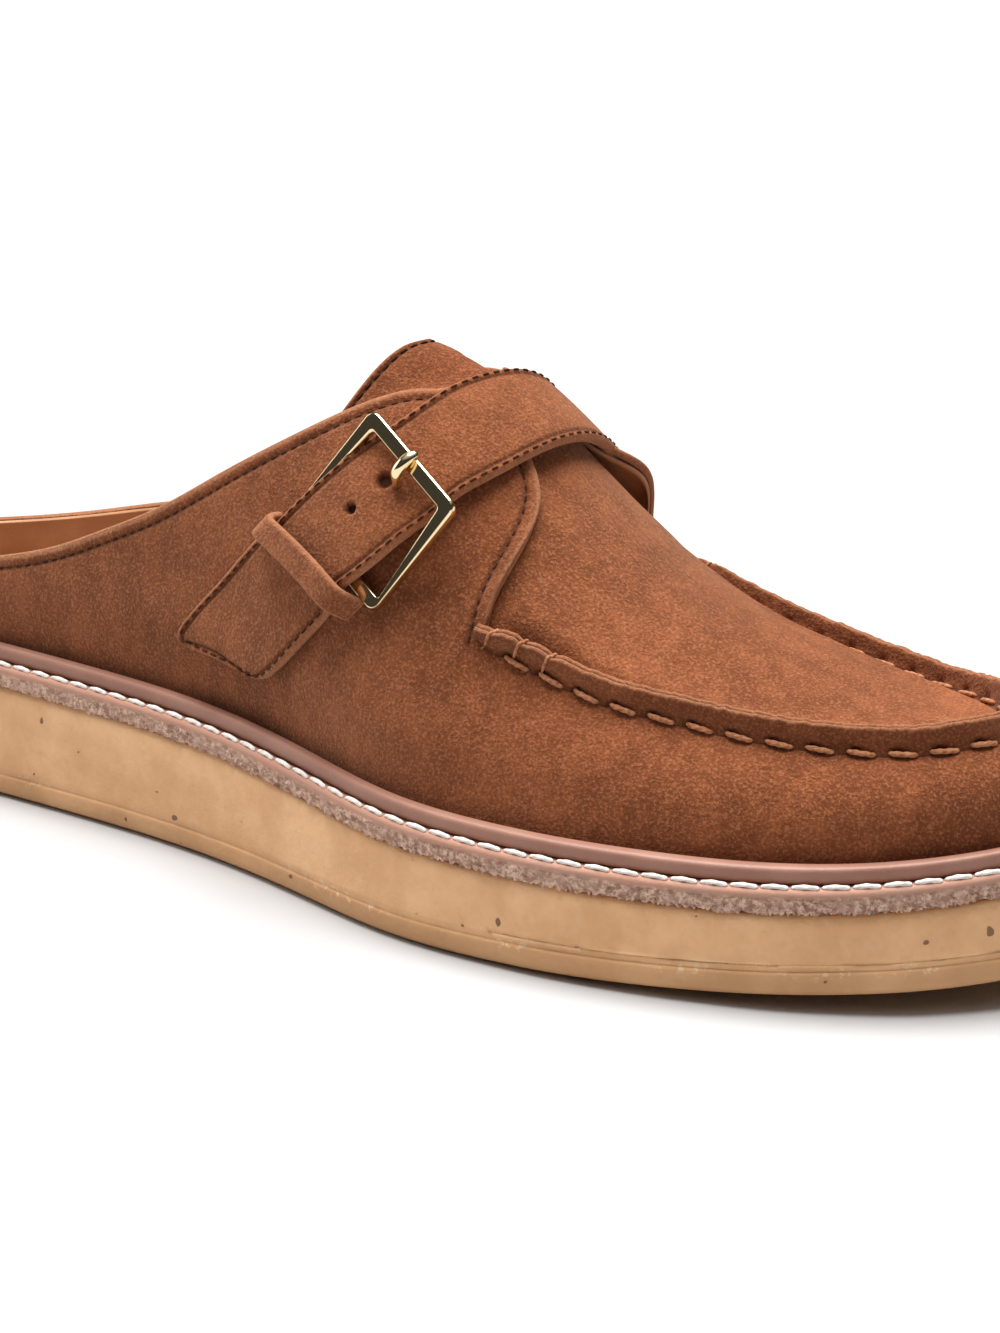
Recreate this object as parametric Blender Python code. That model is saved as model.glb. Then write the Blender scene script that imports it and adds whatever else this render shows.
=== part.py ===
"""Mule clog, right shoe: crepe sole, split-leather midsole, moc-toe suede upper, buckled strap.

Metres, +Z up, toe towards +X, lateral (buckle) side towards -Y, the sole standing on Z = 0.
Shapes are worked out with the heel tip at X = 0, and the empty that carries them moves the
origin under the middle of the sole. Tables hold shares of the named sizes.
"""
import bpy
import bmesh
import numpy as np

# Driving sizes
LENGTH = 0.275            # outsole, heel tip to toe tip
BALL_WIDTH = 0.0955       # outsole across the ball
HEEL_HEIGHT = 0.0282      # top of the midsole at the heel
INSTEP_HEIGHT = 0.069     # last's crest above the midsole where the tongue ends

# Sole
MIDSOLE_THICKNESS = 0.0041
TOE_SPRING = 0.0057
SPRING_START = 0.60       # share of the length where the sole starts to roll up
EDGE_RADIUS = 0.0022      # rounded lower edge of the crepe
FOXING_LINE = 0.0046      # height of the fine step round the crepe
FOXING_STEP = 0.0003
HEEL_ROUND = 0.20         # share of the length taken by the rounded heel
TOE_ROUND = 0.30
TOE_SHIFT = 0.005         # toe tip leans this far to the medial side
INSOLE_THICKNESS = 0.003

# Rand
RAND_LEDGE = 0.0021       # midsole showing outside the rand
RAND_WIDTH = 0.0031
RAND_HEIGHT = 0.0031

# Upper
FEATHER_INSET = 0.0055    # upper's lower edge inside the sole's edge
WALL = 0.0024
APRON_DROP = 0.0011       # the apron lies this far below the quarters
BULGE = 0.0013            # side wall bellies out over the rand
BULGE_RISE = 0.024
TOE_CAP = 0.015           # length over which the toe wall rises
HEEL_CAP = 0.055
CLEAR = 0.0003

# Trim
RIDGE_HEIGHT = 0.0040
RIDGE_WIDTH = 0.0032
SLOT_HALF = 0.0085        # half width of the slot between the quarters, under the strap
SLOT_FRONT = 0.585        # share of the length where the slot ends
TONGUE_END = 0.513        # share of the length of the tongue's free edge, in its middle
TONGUE_DRAW = 0.052       # and how much further back it starts at its sides
TONGUE_TUCK = 0.0035      # tongue reaching under each quarter
TONGUE_THICKNESS = 0.0018
TONGUE_LIFT = 0.0004      # the free edge stands this far above the last
TONGUE_FALL = 0.0090      # width over which it dips below the quarters
STRAP_THICKNESS = 0.0022
TAB_THICKNESS = 0.0015
KEEPER_WIDTH = 0.0054
KEEPER_THICKNESS = 0.0015
FRAME_ACROSS = 0.0248
FRAME_ALONG = 0.0225
FRAME_BAR = 0.0027        # width of the front bar
HINGE_BAR = 0.0012        # width to which the side bars narrow at the hinge
FRAME_THICKNESS = 0.0018
HINGE_DIP = 0.0007        # the hinge bar lies this far below the level of the frame's middle
FRAME_CORNER = 0.0022
PRONG_WIDTH = 0.0018
PRONG_THICKNESS = 0.0013
HOLE_LENGTH = 0.0052      # slot in the strap that the prong comes up through
HOLE_WIDTH = 0.0026
SPARE_HOLE = 0.0022       # round hole left free

# Outsole from above, half widths as shares of the ball width
OUTLINE = (
    # along, lateral, medial
    (0.00, 0.345, 0.345),
    (0.18, 0.341, 0.335),
    (0.30, 0.348, 0.323),
    (0.42, 0.376, 0.298),
    (0.52, 0.437, 0.313),
    (0.60, 0.493, 0.377),
    (0.68, 0.509, 0.450),
    (0.78, 0.502, 0.495),
    (0.88, 0.498, 0.497),
    (1.00, 0.482, 0.480),
)
# Top of the midsole from the side, share of the heel height
SOLE_TOP = (
    # along, height
    (0.00, 1.000),
    (0.15, 0.975),
    (0.30, 0.943),
    (0.45, 0.883),
    (0.60, 0.765),
    (0.75, 0.738),
    (0.90, 0.785),
    (1.00, 0.922),
)
# Cross sections of the last: crest as a share of the instep height, and how square each
# side is: 2 is an ellipse, less is a sloping flank, more is a boxy one
SECTIONS = (
    # along, crest, lateral, medial
    (0.00, 1.160, 2.40, 2.40),
    (0.22, 1.160, 2.40, 2.40),
    (0.41, 1.090, 2.30, 2.30),
    (0.49, 1.028, 2.30, 2.50),
    (0.55, 1.018, 1.95, 2.20),
    (0.60, 0.940, 1.55, 1.72),
    (0.65, 0.780, 1.35, 1.60),
    (0.72, 0.548, 1.48, 1.55),
    (0.80, 0.408, 1.90, 1.72),
    (0.88, 0.330, 2.60, 2.10),
    (0.94, 0.298, 3.00, 2.50),
    (1.00, 0.265, 3.20, 2.90),
)
# Topline from the side, above the midsole, share of the instep height
COLLAR = (
    # along, height
    (0.00, 0.145),
    (0.055, 0.155),
    (0.135, 0.204),
    (0.20, 0.268),
    (0.27, 0.348),
    (0.31, 0.419),
    (0.362, 0.523),
    (0.412, 0.651),
    (0.47, 0.801),
    (0.52, 0.922),
    (0.545, 0.956),
    (0.565, 0.985),
    (0.58, 1.080),
)
# U seam of the apron from above: shares of the length and of the ball width
SEAM = (
    # along, across
    (0.630, -0.340),
    (0.676, -0.320),
    (0.720, -0.304),
    (0.764, -0.277),
    (0.811, -0.247),
    (0.859, -0.202),
    (0.904, -0.142),
    (0.936, -0.060),
    (0.944, 0.020),
    (0.932, 0.100),
    (0.901, 0.183),
    (0.857, 0.241),
    (0.809, 0.272),
    (0.765, 0.284),
    (0.720, 0.288),
    (0.680, 0.292),
    (0.645, 0.300),
)
# Front edges of the quarters from above, from the slot to the end of the seam
FACING = (
    # along, lateral, medial
    (0.600, -0.097, 0.097),
    (0.622, -0.112, 0.115),
    (0.636, -0.140, 0.145),
    (0.640, -0.190, 0.195),
    (0.637, -0.240, 0.240),
    (0.636, -0.285, 0.275),
)
# Strap over the instep: its two edges along the last, from the buckled end to the medial
# quarter. Girth runs from -1 at the lateral feather edge over 0 at the crest to 1
STRAP = (
    # rear along, rear girth, front along, front girth, lift
    (0.479, -0.683, 0.536, -0.712, 1.45),
    (0.502, -0.590, 0.559, -0.615, 1.45),
    (0.521, -0.505, 0.574, -0.533, 1.25),
    (0.538, -0.410, 0.589, -0.453, 0.8),
    (0.551, -0.319, 0.603, -0.367, 0.5),
    (0.561, -0.210, 0.620, -0.268, 0.2),
    (0.572, -0.090, 0.631, -0.150, 0.0),
    (0.580, 0.035, 0.637, -0.020, 0.0),
    (0.583, 0.170, 0.637, 0.115, 0.0),
    (0.581, 0.310, 0.631, 0.255, 0.0),
    (0.574, 0.450, 0.620, 0.400, 0.0),
    (0.563, 0.590, 0.606, 0.545, 0.0),
)
# Anchor tab: its two long edges, from its lower end to the buckle's hinge bar
TAB = (
    # rear along, rear girth, front along, front girth
    (0.388, -0.912, 0.474, -0.921),
    (0.413, -0.852, 0.494, -0.876),
    (0.437, -0.790, 0.511, -0.820),
    (0.460, -0.722, 0.527, -0.757),
    (0.481, -0.650, 0.539, -0.688),
)
# Keeper and buckle on the strap: steps through its table, 0 at its buckled end
KEEPER_AT = 0.14
BUCKLE_AT = 2.10

# Mesh densities
SOLE_STATIONS = 40
SKIN_STATIONS = 46
SKIN_GIRTHS = 30
LINING_STATIONS = 34
LINING_GIRTHS = 28


def column(table, index):
    """One named column of a table."""
    return np.array([row[index] for row in table])


def smooth_curve(places, values):
    """Natural cubic spline: the curve through the points whose bend changes evenly."""
    gap = np.diff(places)
    system = np.eye(len(places))
    right = np.zeros(len(places))
    for i in range(1, len(places) - 1):
        system[i, i - 1:i + 2] = gap[i - 1], 2.0 * (gap[i - 1] + gap[i]), gap[i]
        right[i] = 6.0 * ((values[i + 1] - values[i]) / gap[i] - (values[i] - values[i - 1]) / gap[i - 1])
    bend = np.linalg.solve(system, right)

    def curve(place):
        place = np.asarray(place, float)
        i = np.clip(np.searchsorted(places, place) - 1, 0, len(places) - 2)
        after = places[i + 1] - place
        before = place - places[i]
        cubic = (bend[i] * after ** 3 + bend[i + 1] * before ** 3) / (6.0 * gap[i])
        start = (values[i] / gap[i] - bend[i] * gap[i] / 6.0) * after
        end = (values[i + 1] / gap[i] - bend[i + 1] * gap[i] / 6.0) * before
        return cubic + start + end

    return curve


lateral_width = smooth_curve(column(OUTLINE, 0), column(OUTLINE, 1) * BALL_WIDTH)
medial_width = smooth_curve(column(OUTLINE, 0), column(OUTLINE, 2) * BALL_WIDTH)
midsole_top = smooth_curve(column(SOLE_TOP, 0), column(SOLE_TOP, 1) * HEEL_HEIGHT)
crest_rise = smooth_curve(column(SECTIONS, 0), column(SECTIONS, 1) * INSTEP_HEIGHT)
lateral_power = smooth_curve(column(SECTIONS, 0), column(SECTIONS, 2))
medial_power = smooth_curve(column(SECTIONS, 0), column(SECTIONS, 3))
collar_rise = smooth_curve(column(COLLAR, 0), column(COLLAR, 1) * INSTEP_HEIGHT)


def ease(value):
    """Smooth step from 0 to 1."""
    value = np.clip(value, 0.0, 1.0)
    return value * value * (3.0 - 2.0 * value)


def quarter_round(value):
    """Height of a quarter ellipse, 0 at its tip and 1 where it runs level."""
    return np.sqrt(1.0 - (1.0 - np.clip(value, 0.0, 1.0)) ** 2)


def ends(share):
    """Narrowing of the outline towards heel and toe tip."""
    return quarter_round(share / HEEL_ROUND) * quarter_round((1.0 - share) / TOE_ROUND)


def centre_line(share):
    """Sideways place of the line that halves the shoe, bent to the medial side at the toe."""
    return TOE_SHIFT * ease((share - 0.55) / 0.45)


def half_width(share, side, inset):
    """Half width of the outline drawn in by inset, lateral where side is negative."""
    width = np.where(np.asarray(side) < 0, lateral_width(share), medial_width(share))
    return (width - inset) * ends(share)


def place_along(share, inset):
    return inset + share * (LENGTH - 2.0 * inset)


def share_along(x, inset):
    return np.clip((x - inset) / (LENGTH - 2.0 * inset), 0.0, 1.0)


def sole_top(x):
    return midsole_top(np.clip(x / LENGTH, 0.0, 1.0))


def sole_bottom(x):
    """Flat on the floor, then rolled up to the toe spring."""
    roll = np.clip((x / LENGTH - SPRING_START) / (1.0 - SPRING_START), 0.0, 1.0)
    return TOE_SPRING * roll ** 2


def crest(share, depth):
    """Crest above the feather edge, taken down to nothing at both tips."""
    heel = quarter_round(share * LENGTH / HEEL_CAP)
    toe = quarter_round((1.0 - share) * LENGTH / TOE_CAP)
    return (crest_rise(share) - depth) * heel * toe


def feather(x):
    """Height of the upper's lower edge."""
    return sole_top(x) + CLEAR


def skin(x, girth, depth=0.0):
    """Point on the last: x along it, girth from -1 over the crest at 0 to 1, depth inwards."""
    x, girth, depth = np.broadcast_arrays(np.asarray(x, float), girth, depth)
    inset = FEATHER_INSET + depth
    share = share_along(x, inset)
    turn = (1.0 - np.abs(girth)) * np.pi / 2.0
    power = np.where(girth < 0, lateral_power(share), medial_power(share))
    rise = crest(share, depth) * np.sin(turn) ** (2.0 / power)
    belly = np.clip((rise - RAND_HEIGHT) / BULGE_RISE, 0.0, 1.0)
    puff = BULGE * (1.0 - np.cos(2.0 * np.pi * belly)) / 2.0 * ends(share)
    reach = half_width(share, girth, inset) * np.cos(turn) + puff
    return np.stack([x, centre_line(share) + np.sign(girth) * reach, feather(x) + rise], -1)


def skin_height(x, y, depth=0.0):
    """Height of the last over a point of the plan, depth inwards."""
    inset = FEATHER_INSET + depth
    share = share_along(x, inset)
    off = y - centre_line(share)
    power = np.where(off < 0, lateral_power(share), medial_power(share))
    level = np.clip(1.0 - (off / half_width(share, off, inset)) ** 2, 0.0, 1.0)
    return feather(x) + crest(share, depth) * level ** (1.0 / power)


def unit(vectors):
    return vectors / np.linalg.norm(vectors, axis=-1, keepdims=True)


def skin_normal(x, girth):
    """Outward normal of the last, from two small steps on it."""
    step = 1e-4
    along = skin(x + step, girth) - skin(x - step, girth)
    around = skin(x, girth + step) - skin(x, girth - step)
    return unit(np.cross(along, around))


def above_skin(x, girth, offset):
    return skin(x, girth) + skin_normal(x, girth) * np.asarray(offset)[..., None]


def tip_spacing(count):
    """Shares from tip to tip, close together at both ends."""
    shares = (1.0 - np.cos(np.linspace(0.0, np.pi, count + 1))) / 2.0
    shares[0] = shares[1] / 4.0
    shares[-1] = 1.0 - shares[0]
    return shares


def clear_scene():
    for item in list(bpy.data.objects):
        bpy.data.objects.remove(item, do_unlink=True)


def finish_material(name, colour, roughness, metallic=0.0):
    material = bpy.data.materials.new(name)
    material.use_nodes = True
    shader = material.node_tree.nodes["Principled BSDF"]
    shader.inputs["Base Color"].default_value = (*colour, 1.0)
    shader.inputs["Roughness"].default_value = roughness
    shader.inputs["Metallic"].default_value = metallic
    return material


def add_solid(name, points, faces, material=None):
    """Closed solid from points and faces, its faces turned outwards."""
    mesh = bpy.data.meshes.new(name)
    mesh.from_pydata([tuple(point) for point in points], [], faces)
    shell = bmesh.new()
    shell.from_mesh(mesh)
    bmesh.ops.recalc_face_normals(shell, faces=shell.faces)
    shell.to_mesh(mesh)
    shell.free()
    mesh.shade_smooth()
    mesh.set_sharp_from_angle(angle=np.radians(40.0))
    solid = bpy.data.objects.new(name, mesh)
    bpy.context.scene.collection.objects.link(solid)
    solid.parent = shoe
    if material is not None:
        mesh.materials.append(material)
    return solid


def loft(name, rings, material=None, closed=False):
    """Solid through equal loops of points, capped at both ends or joined to itself."""
    rings = np.asarray(rings)
    count, size = rings.shape[:2]
    faces = []
    for i in range(count if closed else count - 1):
        here, there = i * size, (i + 1) % count * size
        for j in range(size):
            k = (j + 1) % size
            faces.append((here + j, here + k, there + k, there + j))
    if not closed:
        faces.append(tuple(range(size)))
        faces.append(tuple(range((count - 1) * size, count * size)))
    return add_solid(name, rings.reshape(-1, 3), faces, material)


def slab(name, outer, inner, material=None):
    """Sheet with a thickness, between two equal grids of points."""
    rows, columns = outer.shape[:2]
    rim = [(i, 0) for i in range(rows)] + [(rows - 1, j) for j in range(1, columns)]
    rim += [(i, columns - 1) for i in range(rows - 2, -1, -1)] + [(0, j) for j in range(columns - 2, 0, -1)]
    faces = []
    for i in range(rows - 1):
        for j in range(columns - 1):
            a, b = i * columns + j, (i + 1) * columns + j
            faces.append((a, b, b + 1, a + 1))
            faces.append(tuple(rows * columns + corner for corner in (a, a + 1, b + 1, b)))
    edge = [i * columns + j for i, j in rim]
    for a, b in zip(edge, edge[1:] + edge[:1]):
        faces.append((a, b, b + rows * columns, a + rows * columns))
    points = np.concatenate([outer.reshape(-1, 3), inner.reshape(-1, 3)])
    return add_solid(name, points, faces, material)


def edge_loop(inset, height, stations=SOLE_STATIONS):
    """Closed loop round the sole's outline drawn in by inset, height a function of x."""
    share = tip_spacing(stations)
    share[0], share[-1] = 0.0, 1.0
    x = place_along(share, inset)
    sides = [centre_line(share) + side * half_width(share, side, inset) for side in (-1, 1)]
    loop_x = np.concatenate([x, x[-2:0:-1]])
    loop_y = np.concatenate([sides[0], sides[1][-2:0:-1]])
    return np.stack([loop_x, loop_y, height(loop_x)], -1)


def layer(name, loops, material):
    """Sole layer through loops of the outline, closed across below and above."""
    size = len(loops[0])
    half = size // 2
    faces = []
    for i in range(len(loops) - 1):
        for j in range(size):
            k = (j + 1) % size
            faces.append((i * size + j, i * size + k, (i + 1) * size + k, (i + 1) * size + j))
    for base in (0, (len(loops) - 1) * size):
        for j in range(half):
            quad = [j, j + 1, (size - j - 1) % size, (size - j) % size]
            corners = list(dict.fromkeys(quad))
            faces.append(tuple(base + corner for corner in corners))
    return add_solid(name, np.concatenate(loops), faces, material)


def boolean(target, cutter, operation):
    """Cuts target with cutter, or joins them, and hides the cutter."""
    modifier = target.modifiers.new(cutter.name, "BOOLEAN")
    modifier.operation = operation
    modifier.solver = "EXACT"
    modifier.object = cutter
    cutter.hide_render = True
    cutter.display_type = "WIRE"


def outsole():
    """Crepe block: rounded lower edge, a fine step above it and an upright side."""
    def raised(offset):
        return lambda x: sole_bottom(x) + offset

    def top(x):
        return sole_top(x) - MIDSOLE_THICKNESS - CLEAR

    loops = [
        edge_loop(EDGE_RADIUS, raised(0.0)),
        edge_loop(EDGE_RADIUS * 0.3, raised(EDGE_RADIUS * 0.3)),
        edge_loop(0.0, raised(EDGE_RADIUS)),
        edge_loop(0.0, raised(FOXING_LINE)),
        edge_loop(FOXING_STEP, raised(FOXING_LINE + FOXING_STEP)),
        edge_loop(FOXING_STEP, top),
    ]
    layer("outsole", loops, finish_material("crepe", (0.55, 0.34, 0.13), 0.55))


def midsole():
    """Split-leather layer with a slightly broken upper edge."""
    def low(x):
        return sole_top(x) - MIDSOLE_THICKNESS

    def shoulder(x):
        return sole_top(x) - CLEAR * 2.0

    loops = [
        edge_loop(FOXING_STEP, low),
        edge_loop(FOXING_STEP, shoulder),
        edge_loop(FOXING_STEP * 3.0, sole_top),
    ]
    layer("midsole", loops, finish_material("split_leather", (0.36, 0.21, 0.15), 0.85))


def rand():
    """Leather roll in the corner between midsole and upper."""
    material = finish_material("rand_leather", (0.33, 0.17, 0.12), 0.5)
    loops = []
    for turn in np.radians([-90.0, -30.0, 30.0, 90.0, 150.0, 210.0]):
        inset = RAND_LEDGE + RAND_WIDTH / 2.0 - np.cos(turn) * RAND_WIDTH / 2.0
        rise = CLEAR + RAND_HEIGHT / 2.0 * (1.0 + np.sin(turn))
        loops.append(edge_loop(inset, lambda x, rise=rise: sole_top(x) + rise))
    loft("rand", loops, material, closed=True)


def insole():
    """Footbed inside the upper."""
    inset = FEATHER_INSET + WALL + 2.0 * CLEAR
    loops = [
        edge_loop(inset, lambda x: sole_top(x) + CLEAR),
        edge_loop(inset, lambda x: sole_top(x) + INSOLE_THICKNESS * 0.7),
        edge_loop(inset + INSOLE_THICKNESS * 0.3, lambda x: sole_top(x) + INSOLE_THICKNESS),
    ]
    layer("insole", loops, finish_material("footbed", (0.45, 0.24, 0.11), 0.6))


def last_form(name, depth, stations, girths, skirt, lift=0.0):
    """Solid of the last drawn in by depth, its lower edge carried down by skirt."""
    girth = np.linspace(-1.0, 1.0, girths + 1)
    rings = []
    for share in tip_spacing(stations):
        x = place_along(share, FEATHER_INSET + depth)
        ring = skin(x, girth, depth)
        ring[[0, -1], 2] += lift
        if skirt:
            low = ring[[0, -1]] - (0.0, 0.0, skirt)
            ring = np.concatenate([low[:1], ring, low[1:]])
        rings.append(ring)
    return loft(name, rings)


def plan_prism(name, outline, low, high):
    """Upright prism over an outline drawn in the plan."""
    outline = np.asarray(outline)
    rings = [np.column_stack([outline, np.full(len(outline), z)]) for z in (low, high)]
    return loft(name, rings)


def along_points(table, count):
    """Even walk along a curve given by two columns, in shares of length and ball width."""
    steps = np.arange(len(table), dtype=float)
    place = smooth_curve(steps, column(table, 0) * LENGTH)
    across = smooth_curve(steps, column(table, 1) * BALL_WIDTH)
    fine = np.linspace(0.0, len(table) - 1.0, 40 * len(table))
    path = np.column_stack([place(fine), across(fine)])
    run = np.concatenate([[0.0], np.cumsum(np.linalg.norm(np.diff(path, axis=0), axis=1))])
    even = np.interp(np.linspace(0.0, run[-1], count), run, fine)
    return np.column_stack([place(even), across(even)])


def apron_outline():
    """Edge of the apron from above: U seam, both facings and the slot under the strap."""
    seam = along_points(SEAM, 64)
    lateral = along_points([(row[0], row[1]) for row in FACING], 12)
    medial = along_points([(row[0], row[2]) for row in FACING], 12)[::-1]
    rear = (TONGUE_END - TONGUE_DRAW) * LENGTH
    slot = np.array([(rear, SLOT_HALF), (rear, -SLOT_HALF)])
    return np.concatenate([seam, medial, slot, lateral])


def collar_cutter():
    """Block above the topline, its lower edge the topline from the side."""
    share = np.linspace(-0.03, COLLAR[-1][0], 40)
    x = share * LENGTH
    line = np.column_stack([x, feather(x) + collar_rise(np.clip(share, 0.0, 1.0))])
    roof = HEEL_HEIGHT + 2.0 * INSTEP_HEIGHT
    profile = np.concatenate([line, [(x[-1], roof), (x[0], roof)]])
    rings = [np.column_stack([profile[:, 0], np.full(len(profile), y), profile[:, 1]])
             for y in (-BALL_WIDTH, BALL_WIDTH)]
    return loft("collar_cutter", rings)


def upper():
    """Hollow suede shell: quarters and side wall, the apron let in one layer lower."""
    floor = HEEL_HEIGHT + 3.0 * INSOLE_THICKNESS
    roof = HEEL_HEIGHT + 2.0 * INSTEP_HEIGHT
    shell = last_form("upper", 0.0, SKIN_STATIONS, SKIN_GIRTHS, 0.0)
    shell.data.materials.append(finish_material("suede", (0.33, 0.12, 0.045), 0.95))
    boolean(shell, plan_prism("apron_cutter", apron_outline(), floor, roof), "DIFFERENCE")
    boolean(shell, last_form("apron_form", APRON_DROP, SKIN_STATIONS, SKIN_GIRTHS, 0.0, CLEAR), "UNION")
    lining = last_form("lining_form", WALL, LINING_STATIONS, LINING_GIRTHS, 3.0 * INSOLE_THICKNESS)
    boolean(shell, lining, "DIFFERENCE")
    boolean(shell, collar_cutter(), "DIFFERENCE")
    rear, front = (TONGUE_END - TONGUE_DRAW) * LENGTH, SLOT_FRONT * LENGTH
    slot = [(rear, -SLOT_HALF), (front, -SLOT_HALF), (front, SLOT_HALF), (rear, SLOT_HALF)]
    boolean(shell, plan_prism("slot_cutter", slot, floor, roof), "DIFFERENCE")


def moc_ridge():
    """Standing seam round the apron: two leather edges sewn together, over the step below."""
    path = along_points(SEAM, 70)[2:-2]
    ahead = unit(np.gradient(path, axis=0))
    outward = np.column_stack([ahead[:, 1], -ahead[:, 0]])
    reach = RIDGE_WIDTH / 2.0
    sunk = CLEAR - APRON_DROP
    # offset outwards from the seam, height above the last
    profile = (
        (reach + CLEAR, 3.0 * CLEAR),
        (reach, RIDGE_HEIGHT * 0.55),
        (reach * 0.65, RIDGE_HEIGHT),
        (-reach * 0.65, RIDGE_HEIGHT),
        (-reach, RIDGE_HEIGHT * 0.5),
        (-reach, sunk + 1.5 * CLEAR),
        (-3.0 * CLEAR, sunk + 1.5 * CLEAR),
        (-3.0 * CLEAR, 2.5 * CLEAR),
    )
    loops = []
    for offset, rise in profile:
        place = path + outward * offset
        loops.append(np.column_stack([place, skin_height(place[:, 0], place[:, 1]) + rise]))
    loft("moc_ridge", np.stack(loops, 1), finish_material("ridge_suede", (0.30, 0.11, 0.04), 0.95))


def opening_half(x, side, depth):
    """Half width of the gap between the quarters: the collar's, or the slot's further on."""
    inset = FEATHER_INSET + depth
    share = share_along(x, inset)
    power = np.where(side < 0, lateral_power(share), medial_power(share))
    level = np.clip(collar_rise(np.clip(x / LENGTH, 0.0, 1.0)) / crest(share, depth), 0.0, 1.0)
    return np.maximum(half_width(share, side, inset) * np.sqrt(1.0 - level ** power), SLOT_HALF)


def tongue():
    """Suede tab: under the quarters at its sides, level with the apron in the slot, its free
    edge standing up and drawn back at both sides."""
    front = SLOT_FRONT * LENGTH - CLEAR
    walk = np.linspace(0.0, 1.0, 13)[:, None]
    span = np.linspace(-1.0, 1.0, 21)[None, :]
    rear = (TONGUE_END - TONGUE_DRAW * np.abs(span) ** 1.5) * LENGTH
    x = rear + (front - rear) * walk
    side = np.sign(span) + 0.0 * x
    under = WALL + 3.0 * CLEAR
    lining = half_width(x / LENGTH, side, FEATHER_INSET + under + TONGUE_THICKNESS)
    half = np.minimum(opening_half(x, side, 0.0) + TONGUE_TUCK, lining * 0.93)
    y = centre_line(x / LENGTH) + half * span
    inside = opening_half(x, side, WALL) - 4.0 * CLEAR - np.abs(y - centre_line(x / LENGTH))
    shown = ease(inside / TONGUE_FALL)
    free = 1.0 - ease((x - TONGUE_END * LENGTH) / (0.055 * LENGTH))
    depth = under - (under - APRON_DROP + (APRON_DROP + TONGUE_LIFT) * free) * shown
    faces = [np.stack([x, y, skin_height(x, y, depth + sink)], -1) for sink in (0.0, TONGUE_THICKNESS)]
    slab("tongue", faces[0], faces[1], finish_material("tongue_suede", (0.32, 0.12, 0.045), 0.95))


def band_edges(table, rows):
    """Places and girths of a band's two long edges, walked evenly through the table."""
    steps = np.arange(len(table), dtype=float)
    walk = np.linspace(0.0, len(table) - 1.0, rows)
    return [smooth_curve(steps, column(table, k))(walk)[:, None] for k in range(len(table[0]))]


def band(name, table, rows, columns, low, thickness, material):
    """Band of leather laid on the last between two edges, low above it."""
    rear_x, rear_girth, front_x, front_girth = band_edges(table, rows)[:4]
    across = np.linspace(0.0, 1.0, columns)[None, :]
    x = (rear_x + (front_x - rear_x) * across) * LENGTH
    girth = rear_girth + (front_girth - rear_girth) * across
    low = low + 0.0 * x
    return slab(name, above_skin(x, girth, low + thickness), above_skin(x, girth, low), material)


def strap():
    """Folded suede band from the medial quarter over the instep and through the buckle."""
    rows = 30
    lift = band_edges(STRAP, rows)[4]
    low = CLEAR + lift * (TAB_THICKNESS + CLEAR)
    suede = finish_material("strap_suede", (0.36, 0.135, 0.05), 0.95)
    return band("strap", STRAP, rows, 7, low, STRAP_THICKNESS, suede)


def buckle_tab():
    """Anchor sewn on the lateral quarter: it runs up to the buckle's hinge bar."""
    suede = finish_material("tab_suede", (0.36, 0.135, 0.05), 0.95)
    band("buckle_tab", TAB, 12, 7, CLEAR, TAB_THICKNESS, suede)


def strap_frame(step):
    """Middle of the strap at a step of its table, and the directions along, across and out."""
    steps = np.arange(len(STRAP), dtype=float)
    curves = [smooth_curve(steps, column(STRAP, k)) for k in range(4)]
    rear_x, rear_girth, front_x, front_girth = [curve(np.array([step - 0.1, step, step + 0.1])) for curve in curves]
    middle = skin((rear_x + front_x) / 2.0 * LENGTH, (rear_girth + front_girth) / 2.0)
    rear = skin(rear_x[1] * LENGTH, rear_girth[1])
    front = skin(front_x[1] * LENGTH, front_girth[1])
    along = unit(middle[2] - middle[0])
    out = unit(np.cross(front - rear, along))
    return middle[1], along, np.cross(along, out), out


def strap_top(lift):
    """Height of the strap's outer face above the last where its table lifts it by lift."""
    return CLEAR + lift * (TAB_THICKNESS + CLEAR) + STRAP_THICKNESS


def keeper():
    """Suede loop over the strap's end: a bridge that stands on the quarter at both sides."""
    along = strap_frame(KEEPER_AT)[1]
    steps = np.arange(len(STRAP), dtype=float)
    rear_x, rear_girth, front_x, front_girth = [float(smooth_curve(steps, column(STRAP, k))(KEEPER_AT))
                                                for k in range(4)]
    low = strap_top(STRAP[0][4]) + 1.5 * CLEAR
    high = low + KEEPER_THICKNESS
    # place across the strap, 0 at its rear edge and 1 at its front edge, underside and top
    bridge = (
        (-0.16, CLEAR, KEEPER_THICKNESS),
        (-0.145, CLEAR, low * 0.75),
        (-0.07, low * 0.8, high * 0.96),
        (0.04, low, high),
        (0.28, low, high),
        (0.50, low, high),
        (0.72, low, high),
        (0.96, low, high),
        (1.07, low * 0.8, high * 0.96),
        (1.145, CLEAR, low * 0.75),
        (1.16, CLEAR, KEEPER_THICKNESS),
    )
    rings = []
    for across, under, over in bridge:
        x = (rear_x + (front_x - rear_x) * across) * LENGTH
        girth = rear_girth + (front_girth - rear_girth) * across
        foot, out = skin(x, girth), skin_normal(x, girth)
        half = along * KEEPER_WIDTH / 2.0
        rings.append([foot + out * under - half, foot + out * under + half,
                      foot + out * over + half * 0.9, foot + out * over - half * 0.9])
    loft("keeper", rings, finish_material("keeper_suede", (0.36, 0.135, 0.05), 0.95))


def buckle_place(along_by, across_by, height):
    """Point by the buckle's own directions, from the last under its middle."""
    middle, along, across, out = strap_frame(BUCKLE_AT)
    return middle + along * along_by + across * across_by + out * height


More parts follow.
